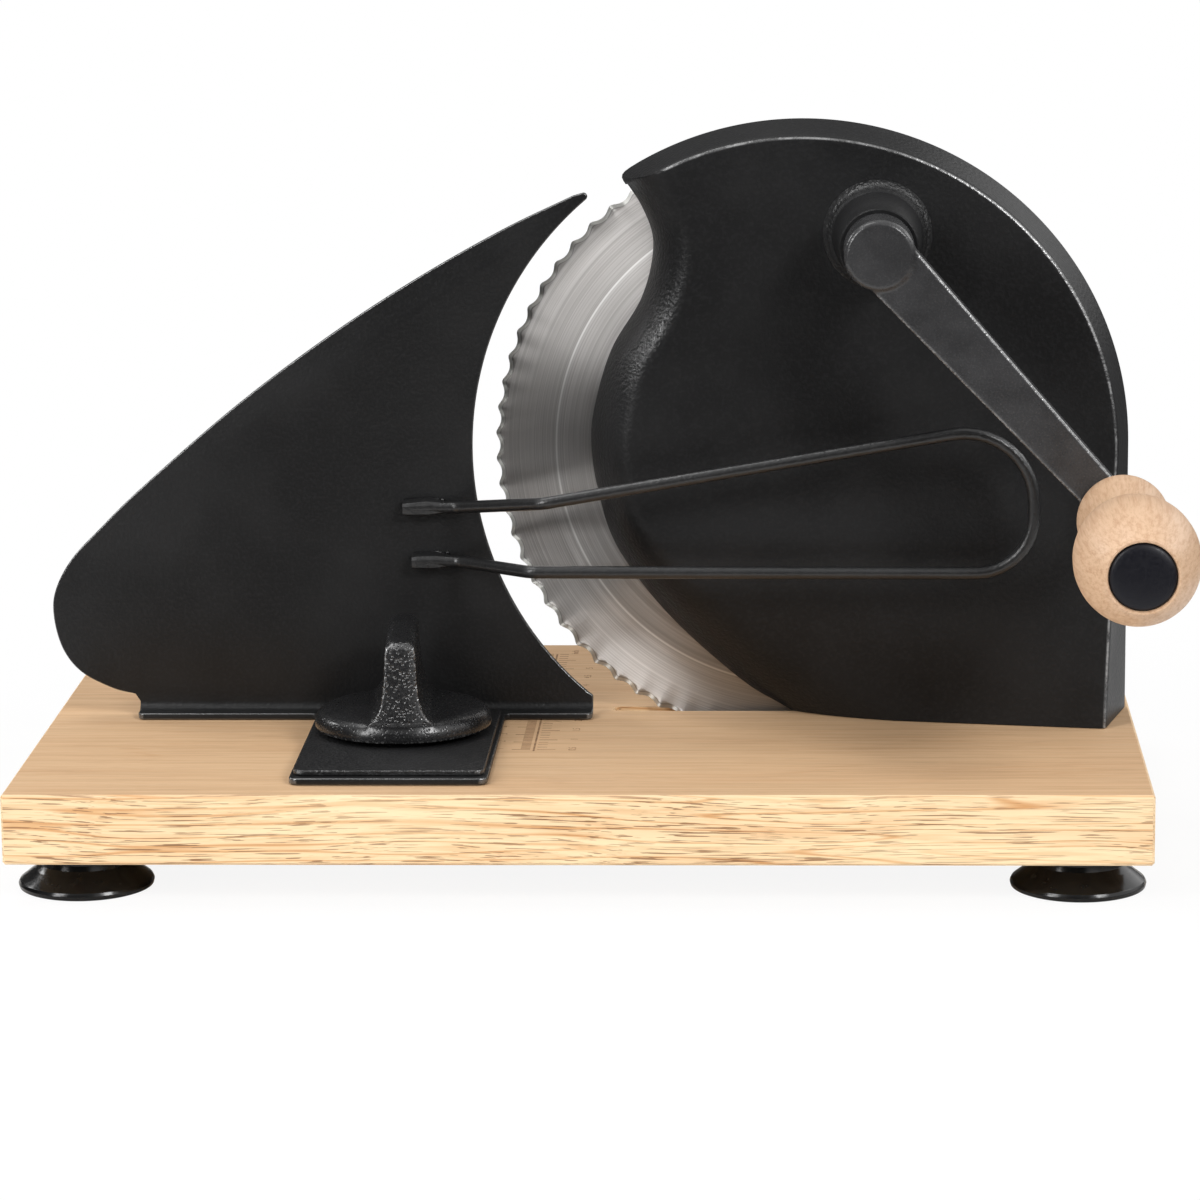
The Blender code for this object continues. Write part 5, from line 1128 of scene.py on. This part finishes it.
def mark_edges(piece, full):
    """Marks each point from 0 to 1 by how far it stands out from its neighbours.

    Full is the turn, in radians, from one point to the next at which the mark is 1. The corners
    of flat faces have no mark, so that it stays on their edges.
    """
    mesh = piece.data
    spots = [v.co.copy() for v in mesh.vertices]
    normals = [v.vector.copy() for v in mesh.vertex_normals]
    spans = {(a, b): (spots[a] - spots[b]).length for a, b in mesh.edge_keys}
    flat = set()
    for face in mesh.polygons:
        if face.area > 0.9 * MM * max(spans[key] for key in face.edge_keys):
            flat.update(face.vertices)
    turns, counts = [0.0] * len(spots), [0] * len(spots)
    for a, b in mesh.edge_keys:
        turn = (normals[b] - normals[a]).dot((spots[b] - spots[a]).normalized())
        for end in (a, b):
            turns[end] += turn
            counts[end] += 1
    marks = [min(max((2 * t / (c * full) - 0.3) / 0.7, 0.0), 1.0) for t, c in zip(turns, counts)]
    marks = [0.0 if i in flat else mark for i, mark in enumerate(marks)]
    mesh.attributes.new("edge", "FLOAT", "POINT").data.foreach_set("value", marks)


def broken_plate(work, outline, back, front, edge, spot):
    """A closed plate on a flat outline, from its back to its front, where its edge is broken.

    Spot turns a place on the outline and a depth into metres.
    """
    inward = math.copysign(edge, front - back)
    rings = []
    for depth, share in ((back, 0), (front - inward, 0), (front - 0.3 * inward, 0.3), (front, 1)):
        flat = inset_outline(outline, [share * edge] * len(outline)) if share else outline
        rings.append([spot(p, depth) for p in flat])
    skin(work, rings)


def turned_out(work):
    """Turns the faces outwards and makes them triangles, ready to be melted together."""
    bmesh.ops.recalc_face_normals(work, faces=work.faces)
    bmesh.ops.triangulate(work, faces=work.faces)


arm_coat = hammered_finish("arm_hammered_coat", (0.027, 0.027, 0.028), 0.00005, 0.4)
along = Vector((math.cos(ARM_ANGLE), math.sin(ARM_ANGLE)))
across = ARM_ROOT_HALF * Vector((-along.y, along.x))
hub_spot = Vector((CRANK_X, CRANK_Z))
root = hub_spot + ARM_ROOT * along
lean = math.asin(ARM_EYE_HALF / ARM_EYE)
start, end = ARM_ANGLE - math.pi + lean, ARM_ANGLE + math.pi - lean
path = [root + across, root - across] + arc(hub_spot + along * ARM_LENGTH, ARM_EYE, start, end, 32)
work = bmesh.new()
broken_plate(work, path, ARM_BACK, ARM_FRONT, ARM_EDGE, lambda p, y: at(p.x, y, p.y))
turned_out(work)
turned(work, HUB_PROFILE, (CRANK_X, 0, CRANK_Z), "y", 96)
crank_arm = cast_skin(closed_piece("crank_arm_cast", work, arm_coat), 0.55, arm_coat)
mark_edges(crank_arm, FULL_TURN_MARK)
fit(crank_arm, "crank", "black_hammered", "crank_arm")


# Crank knob: turned beech, waisted behind and full in front, oiled. It spins on a steel pin that
# is riveted in the arm's eye.

KNOB_X = 342.09
KNOB_Z = 75.967
KNOB_BACK = 46.7
KNOB_LENGTH = 89.7
KNOB_FRONT = KNOB_BACK - KNOB_LENGTH
KNOB_SHAPE = (
    (3.3, 0.0), (12.5, 0.0), (13.5, 0.008), (14.1, 0.022), (14.3, 0.04), (14.2, 0.066),
    (13.7, 0.095), (13.0, 0.135), (12.2, 0.18), (11.6, 0.225), (11.2, 0.275), (11.3, 0.325),
    (12.1, 0.375), (13.6, 0.43), (15.4, 0.49), (17.0, 0.55), (18.1, 0.605), (18.7, 0.66),
    (18.9, 0.71), (18.75, 0.76), (18.2, 0.81), (17.2, 0.86), (15.8, 0.905), (14.2, 0.945),
    (12.7, 0.976), (11.7, 0.993), (11.0, 1.0), (10.4, 0.999), (10.1, 0.992), (10.1, 0.97),
    (5.8, 0.97), (5.8, 0.917), (3.3, 0.917),
)
PIN_HEAD = KNOB_FRONT + 7.2
PIN_TAIL = ARM_BACK + 0.3
PIN_PROFILE = (
    (0, PIN_HEAD - 2), (4.6, PIN_HEAD - 2), (5.2, PIN_HEAD - 1.4), (5.2, PIN_HEAD),
    (3, PIN_HEAD), (3, PIN_TAIL), (5.0, PIN_TAIL), (5.2, PIN_TAIL + 0.3), (4.6, PIN_TAIL + 1.4),
    (3.2, PIN_TAIL + 1.9), (0, PIN_TAIL + 2),
)
KNOB_PALE = (0.64, 0.435, 0.285)
KNOB_DEEP = (0.54, 0.345, 0.205)
KNOB_PORE = (0.36, 0.2, 0.1)

knob_wood, _, shader, *_ = beech_finish(
    "knob_beech", KNOB_PALE, KNOB_DEEP, KNOB_PORE, (0, 1, 0), 0.3, 0.12
)
feed(shader, {"Coat Weight": 0.15, "Coat Roughness": 0.3})
knob_profile = [(r, -KNOB_LENGTH * share) for r, share in KNOB_SHAPE]
knob_middle = (KNOB_X, KNOB_BACK, KNOB_Z)
knob = turned_piece("crank_knob_turned", knob_profile, knob_middle, "y", 128, knob_wood)
fit(smooth(knob, 35), "knob", "beech_knob", "crank_knob")
pin = turned_piece("knob_pin", PIN_PROFILE, (KNOB_X, 0, KNOB_Z), "y", 48, plated)
fit(smooth(pin, 35), "crank", "plated_steel", "knob_axle")


# Knob cap: a small domed plug of black plastic, moulded with a fine matt grain and pressed in the
# knob's front over the pin's head.

CAP_PROFILE = (
    (0, -0.8), (3, -0.77), (5.6, -0.62), (7.6, -0.38), (9.0, -0.05), (9.6, 0.3), (9.9, 0.8),
    (9.9, 2.4), (0, 2.4),
)

cap_plastic, tree, shader, place = new_finish("cap_plastic", (0.005, 0.005, 0.008), 0.4, 0, 0.25)
speck = grain(tree, place, 1100)
feed(shader, {"Roughness": between(tree, speck, 0.3, 0.7, 0.34, 0.48)})
bumped(tree, shader, speck, 0.00003)
cap_middle = (KNOB_X, KNOB_FRONT, KNOB_Z)
cap = turned_piece("knob_cap_moulded", CAP_PROFILE, cap_middle, "y", 96, cap_plastic)
fit(smooth(cap, 40), "knob", "cap_plastic", "knob_cap")


# Fence: one piece of 2 mm steel sheet, cut, folded at its foot into a flange with a tongue, its
# cut edges rolled over by the powder coat.

SHEET = 2
FENCE_MIDDLE = 105
FENCE_FRONT = FENCE_MIDDLE - SHEET / 2
FENCE_NOSE_X = BLADE_X - 242.9
FENCE_EDGE_RADIUS = 105.7
FENCE_TIP_ANGLE = math.radians(130.3)
FENCE_TIP_RADIUS = 1.2
FENCE_END_X = BLADE_X - 67.8
FENCE_END_Z = 6.6
FENCE_EDGE_ROLL = 0.45
SHEET_TURN_MARK = 0.5
FLANGE_MIDDLE_Z = 1.3
FLANGE_FRONT = 97.3
FLANGE_LEFT_X = FENCE_NOSE_X + 27.5
BEND_RADIUS = 3.5
CLAMP_X = 117
CLAMP_Y = 69
TONGUE_FRONT = 11.5
TONGUE_HALF = 30.5
TONGUE_CORNER = 3
FENCE_SLOPE = (
    (170.4, 169.3), (147.1, 158.2), (118.1, 141.8), (88.9, 122.7), (59.4, 100.6), (29.5, 74.9),
    (15.9, 61.8), (6.7, 52.1), (1.2, 42.2), (0.1, 33.5), (2.6, 22.6), (8.5, 14.6), (18.5, 9.2),
    (26.0, 7.2),
)

# Its marked edges are painted a little lighter: a faint painted highlight, partly worn coat.
sheet_coat = coat_finish("sheet_powder_coat", 0.34, 0.42, 0.0011, 0.00015, 0.18, 0.12)
bend_top = FLANGE_MIDDLE_Z + BEND_RADIUS
bend_foot = FENCE_MIDDLE - BEND_RADIUS
path = [Vector((FLANGE_LEFT_X, bend_top))]
path += curve_through([(FENCE_NOSE_X + x, z) for x, z in FENCE_SLOPE], 8)[::-1]
blade_spot = Vector((BLADE_X, BLADE_Z))
tip_spot = arc(blade_spot, FENCE_EDGE_RADIUS + FENCE_TIP_RADIUS, FENCE_TIP_ANGLE, math.pi, 1)[0]
path += arc(tip_spot, FENCE_TIP_RADIUS, math.radians(115), FENCE_TIP_ANGLE - math.pi, 8)
end_turn = math.pi + math.asin((BLADE_Z - FENCE_END_Z) / FENCE_EDGE_RADIUS)
edge = arc(blade_spot, FENCE_EDGE_RADIUS, FENCE_TIP_ANGLE + math.radians(2), end_turn, 89)
path += [spot for spot in edge if spot.x < FENCE_END_X - 0.3]
path += [Vector((FENCE_END_X, FENCE_END_Z)), Vector((FENCE_END_X, bend_top))]

work = bmesh.new()
upright = [work.verts.new(at(p.x, FENCE_MIDDLE, p.y)) for p in path]
work.faces.new(upright)
rows = [(upright[0], upright[-1])]
for i in range(1, 11):
    t = math.pi / 2 * i / 10
    y = FENCE_MIDDLE - BEND_RADIUS * (1 - math.cos(t))
    z = FLANGE_MIDDLE_Z + BEND_RADIUS * (1 - math.sin(t))
    rows.append([work.verts.new(at(x, y, z)) for x in (FLANGE_LEFT_X, FENCE_END_X)])
for (left, right), (next_left, next_right) in zip(rows, rows[1:]):
    work.faces.new((left, right, next_right, next_left))
tongue_left, tongue_right = CLAMP_X - TONGUE_HALF, CLAMP_X + TONGUE_HALF
flange = (
    (FLANGE_LEFT_X, bend_foot), (FLANGE_LEFT_X, FLANGE_FRONT), (tongue_left, FLANGE_FRONT),
    (tongue_left, TONGUE_FRONT), (tongue_right, TONGUE_FRONT), (tongue_right, FLANGE_FRONT),
    (FENCE_END_X, FLANGE_FRONT), (FENCE_END_X, bend_foot),
)
flange = round_corners(flange, [0, 3, 1.75, 3, 3, 1.75, 3, 0], 6, closed=False)[1:-1]
foot_verts = [work.verts.new(at(x, y, FLANGE_MIDDLE_Z)) for x, y in flange]
work.faces.new([rows[-1][0]] + foot_verts + [rows[-1][1]])
bmesh.ops.recalc_face_normals(work, faces=work.faces)
fence = new_piece("fence_sheet", work, sheet_coat)
thick = fence.modifiers.new("thick", "SOLIDIFY")
thick.thickness = SHEET * MM
thick.offset = 0
thick.use_even_offset = True
rolled = fence.modifiers.new("rolled", "BEVEL")
rolled.width = FENCE_EDGE_ROLL * MM
rolled.segments = 3
rolled.limit_method = "ANGLE"
rolled.angle_limit = math.radians(50)
settle(fence)
mark_edges(fence, SHEET_TURN_MARK)
fit(smooth(fence, 40), "fence", "black_sheet", "fence_plate")


# Tongue doubler: a second plate on the tongue that spreads the clamp's load, cut a little smaller
# than the tongue and coated as the fence.

DOUBLER_INSET = 1.2
DOUBLER_BOTTOM = 2.6
DOUBLER_TOP = 4.1
DOUBLER_FRONT = TONGUE_FRONT + 3
DOUBLER_EDGE = 0.4


def give(piece, name, value):
    """Gives the whole piece one value of an attribute that its finish reads."""
    values = [value] * len(piece.data.vertices)
    piece.data.attributes.new(name, "FLOAT", "POINT").data.foreach_set("value", values)


half = TONGUE_HALF - DOUBLER_INSET
corners = [
    (CLAMP_X - half, DOUBLER_FRONT), (CLAMP_X + half, DOUBLER_FRONT),
    (CLAMP_X + half, FLANGE_FRONT), (CLAMP_X - half, FLANGE_FRONT),
]
outline = round_corners(corners, [TONGUE_CORNER] * 4, 8)
work = bmesh.new()
broken_plate(
    work, outline, DOUBLER_BOTTOM, DOUBLER_TOP, DOUBLER_EDGE, lambda p, z: at(p.x, p.y, z)
)
doubler = smooth(closed_piece("doubler_plate", work, sheet_coat), 35)
mark_edges(doubler, SHEET_TURN_MARK)
give(doubler, "coarse", 0.8)
fit(doubler, "fence", "black_sheet", "tongue_doubler")


# Wire guard: one round rod bent into a loop that stands before the housing, its two ends
# flattened and welded to the fence's front, and coated with it.

WIRE_RADIUS = 2
WIRE_PLANE = 76
WELD_PLANE = 101.7
WIRE_PATH = (
    ((-126.5, -18.2), WELD_PLANE, 0), ((-110.5, -18.2), WELD_PLANE, 6),
    ((-82, -12.2), WIRE_PLANE, 6), ((73, 14.1), WIRE_PLANE, 22), ((73, -34.7), WIRE_PLANE, 18),
    ((-86, -34.2), WIRE_PLANE, 6), ((-110, -36), WELD_PLANE, 6), ((-124, -35.6), WELD_PLANE, 0),
)
# Each flattened end: the x where it starts and ends, its z, and how far its top rises
WIRE_ENDS = ((-128.2, -112.5, -18.2, 0.8), (-125.6, -111.5, -35.7, 0.4))
END_SECTION = ((1.75, -2.5), (-1.5, -2.45), (-1.95, -2.0), (-1.95, 0.5), (-1.3, 1.5), (1.75, 2.5))
END_CORE = 1.7

rod, given = new_tree("bent_rod", Radius=0.002, Sides=24)
spine = result(rod, "GeometryNodeMeshToCurve", {"Mesh": given["Geometry"]})
bend = result(rod, "GeometryNodeInputNamedAttribute", {"Name": "bend"}, data_type="FLOAT")
feeds = {"Curve": spine, "Radius": bend, "Count": 10, "Limit Radius": True}
spine = result(rod, "GeometryNodeFilletCurve", feeds, mode="POLY")
feeds = {"Resolution": given["Sides"], "Radius": given["Radius"]}
section = result(rod, "GeometryNodeCurvePrimitiveCircle", feeds)
feeds = {"Curve": spine, "Profile Curve": section, "Fill Caps": True}
close_tree(rod, result(rod, "GeometryNodeCurveToMesh", feeds), sheet_coat)

places = [at(BLADE_X + x, y, BLADE_Z + z) for (x, z), y, _ in WIRE_PATH]
mesh = bpy.data.meshes.new("wire_rod")
mesh.from_pydata(places, [(i, i + 1) for i in range(len(places) - 1)], [])
bends = mesh.attributes.new("bend", "FLOAT", "POINT")
bends.data.foreach_set("value", [radius * MM for _, _, radius in WIRE_PATH])
guard = grow(link_piece("wire_rod", mesh), rod, Radius=WIRE_RADIUS * MM, Sides=24)
work = bmesh.new()
work.from_mesh(guard.data)
bpy.data.objects.remove(guard, do_unlink=True)
for x0, x1, z, rise in WIRE_ENDS:
    rings = []
    for i in range(15):
        share = i / 14
        blend = min(max((share - 0.45) / 0.55, 0.0), 1.0)
        blend = blend * blend * (3 - 2 * blend)
        full = 0.9 if i == 0 else 1.0
        x = BLADE_X + x0 + (0.35 if i else 0.0) + (x1 - x0) * share
        ring = []
        for depth, height in round_corners(END_SECTION, [0.35] * 6, 3):
            height += rise * min(share / 0.5, 1.0) * (0.5 + 0.2 * height)
            turn = math.atan2(height, depth)
            dent = 0.12 * noise.noise(Vector((40 * share, depth, height)))
            depth = full * (depth * (1 - blend) + END_CORE * math.cos(turn) * blend)
            height = full * (height * (1 - blend) + END_CORE * math.sin(turn) * blend)
            ring.append(at(x, WELD_PLANE + depth + dent, BLADE_Z + z + height))
        rings.append(ring)
    skin(work, rings)
    for k in range(9):
        share = (0.45 + 0.5 * abs(noise.noise(Vector((k, x0, 1)))) * 1.6) if k < 6 else 0.1 * k
        size = 0.5 + 0.45 * abs(noise.noise(Vector((k, 2, z))))
        height = 2.2 + 0.9 * noise.noise(Vector((k, 7, x0)))
        drop = bmesh.ops.create_icosphere(work, subdivisions=2, radius=size * MM)["verts"]
        spot = at(BLADE_X + x0 + (x1 - x0) * share, FENCE_FRONT - 0.15, BLADE_Z + z + height)
        bmesh.ops.translate(work, verts=drop, vec=spot)
guard = smooth(closed_piece("wire_guard_loop", work, sheet_coat), 50)
give(guard, "edge", 0.4)
fit(guard, "fence", "black_sheet", "wire_guard")


# Clamp: a plated bolt up through the board and the tongue's slot, a washer, and a cast knob with
# one tall wing, in the same hammered coat as the arm, that is screwed down to hold the fence.

CLAMP_BOTTOM = 5.7
CLAMP_DISC = 28
CLAMP_DISC_TOP = CLAMP_BOTTOM + 6
CLAMP_TOP = CLAMP_BOTTOM + 31.2
CLAMP_ROOT = CLAMP_BOTTOM + 1
CLAMP_TURN = math.radians(3.3)
BOLT_TOP = CLAMP_BOTTOM + 17
WING_TOP_WIDTH = 9.2
WING_TAPER = 2.4
WING_FLARE = 13
WING_END_LEAN = 5
WING_ROUND = 2.5
BOLT_PROFILE = (
    (0, -21.0), (2.8, -21.0), (5.2, -20.75), (7.6, -20.0), (8.8, -19.0), (9.0, -18.3),
    (9.0, -17.9), (8.8, -17.8), (4, -17.8), (4, BOLT_TOP), (0, BOLT_TOP),
)
DISC_PROFILE = (
    (4.3, 0), (27.6, 0), (28.0, 0.4), (28.0, 1.6), (27.7, 3.2), (26.9, 4.6), (25.4, 5.6),
    (23.0, 6.2), (12, 6.8), (4.3, 7.0),
)

bolt = turned_piece("clamp_bolt_turned", BOLT_PROFILE, (CLAMP_X, CLAMP_Y, 0), "z", 64, plated)
fit(smooth(bolt, 35), "base", "plated_steel", "clamp_bolt")
refinish(plated, "clamp_washer")

work = bmesh.new()
turned(work, DISC_PROFILE, (CLAMP_X, CLAMP_Y, CLAMP_BOTTOM), "z", 128)
wing_rings = []
for i in range(25):
    z = CLAMP_ROOT + (CLAMP_TOP - CLAMP_ROOT) * (i / 24) ** 1.4
    fall = (CLAMP_TOP - z) / (CLAMP_TOP - CLAMP_BOTTOM)
    flare = WING_FLARE * math.exp(-max(z - CLAMP_DISC_TOP + 2, 0.0) / 4)
    top_share = max(0.0, (z - CLAMP_TOP + WING_ROUND) / WING_ROUND)
    turned_in = 1 - math.sqrt(max(0.0, 1 - top_share**2))
    half_width = (WING_TOP_WIDTH + WING_TAPER * fall + flare) / 2 - 2.2 * turned_in
    end = CLAMP_DISC - 0.4 - WING_END_LEAN * (1 - fall) - 1.8 * turned_in
    ring = []
    for k in range(96):
        c, s = math.cos(2 * math.pi * k / 96), math.sin(2 * math.pi * k / 96)
        square = max(abs(c), abs(s))
        x = half_width * min(max(c / square, -1), 1)
        y = math.sqrt(max(end**2 - x**2, 0.0)) * min(max(s / square, -1), 1)
        x, y = Matrix.Rotation(CLAMP_TURN, 2) @ Vector((x, y))
        ring.append(at(CLAMP_X + x, CLAMP_Y + y, z))
    wing_rings.append(ring)
skin(work, wing_rings)
turned_out(work)
full_height = at(0, 0, CLAMP_DISC_TOP + 0.8).z
clamp_coat = hammered_finish(
    "clamp_hammered_coat", (0.008, 0.008, 0.0085), 0.0003, 0.2, full_height
)
clamp_knob = cast_skin(closed_piece("clamp_knob_cast", work, clamp_coat), 0.5, clamp_coat)
mark_edges(clamp_knob, FULL_TURN_MARK)
fit(clamp_knob, "clamp", "black_hammered", "clamp_knob")


# Floor, lamps and world: a pale floor that fades into the background, big soft lamps above, at
# the left and at the right, and a white room with a bright ceiling and a screen on its right.

FLOOR_RADIUS = 0.48
ROOM_LIGHT = 0.32

floor_finish, tree, shader, place = new_finish("floor_paint", (0.86, 0.86, 0.86), 0.9, 0, 0.1)
glow = result(tree, "ShaderNodeEmission", {"Color": (1, 1, 1, 1), "Strength": 1.0})
seen = node(tree, "ShaderNodeLightPath").outputs["Is Camera Ray"]
reach = node(tree, "ShaderNodeVectorMath", {0: place}, operation="LENGTH").outputs["Value"]
share = between(tree, reach, 0.2, 0.98 * FLOOR_RADIUS, 0.9, 1.0)
feeds = {0: multiplied(tree, seen, share), 1: shader.outputs[0], 2: glow}
faded = result(tree, "ShaderNodeMixShader", feeds)
feed(tree.nodes["Material Output"], {"Surface": faded})
work = bmesh.new()
bmesh.ops.create_circle(
    work,
    cap_ends=True,
    segments=96,
    radius=FLOOR_RADIUS,
    matrix=Matrix.Translation((0, 0, cad_box[0].z)),
)
new_piece("floor", work, floor_finish)


def soft_lamp(name, place, aim, width, height, power):
    """A rectangular lamp that faces the aim."""
    data = bpy.data.lights.new(name, "AREA")
    data.shape = "RECTANGLE"
    data.size = width
    data.size_y = height
    data.energy = power
    lamp = link_piece(name, data)
    lamp.location = place
    lamp.rotation_euler = (Vector(aim) - Vector(place)).to_track_quat("-Z", "Y").to_euler()


soft_lamp("overhead", (-0.6, 0.15, 1.8), (0, 0, 0.1), 1.0, 0.8, 11)
soft_lamp("key_left", (-1.3, -1.3, 1.35), (0, 0, 0.1), 0.6, 0.6, 15.5)
soft_lamp("strip_left", (-1.5, -1.35, 0.75), (0, 0, 0.12), 0.35, 0.8, 14)
soft_lamp("key_right", (1.3, -1.4, 1.35), (0, 0, 0.1), 0.5, 0.6, 27)
soft_lamp("rim_left", (-1.9, 0.9, 1.1), (0, 0, 0.1), 0.5, 0.5, 10)
soft_lamp("rim_right", (1.8, 0.5, 1.2), (0.1, 0, 0.1), 0.5, 0.6, 7)

world = bpy.data.worlds.new("white_room")
bpy.context.scene.world = world
world.use_nodes = True
tree = world.node_tree
room = tree.nodes["Background"]
rays = node(tree, "ShaderNodeLightPath").outputs
plain = figured(tree, "MAXIMUM", rays["Is Camera Ray"], rays["Is Transmission Ray"])
heading = parts(tree, node(tree, "ShaderNodeTexCoord").outputs["Generated"])
ceiling = between(tree, figured(tree, "ABSOLUTE", heading["Z"]), 0.35, 0.95, 0.07, 1.0)
screen = multiplied(
    tree,
    between(tree, heading["X"], 0.15, 0.5),
    between(tree, heading["Z"], 0.0, 0.3, 0.0, 1.8),
)
walls = figured(tree, "MAXIMUM", ceiling, screen)
seen = result(tree, "ShaderNodeMix", {0: rays["Is Glossy Ray"], 2: ROOM_LIGHT, 3: walls})
strength = result(tree, "ShaderNodeMix", {0: plain, 2: seen, 3: 1.0})
feed(room, {"Color": (1, 1, 1, 1), "Strength": strength})

bpy.context.scene.view_settings.view_transform = "Standard"
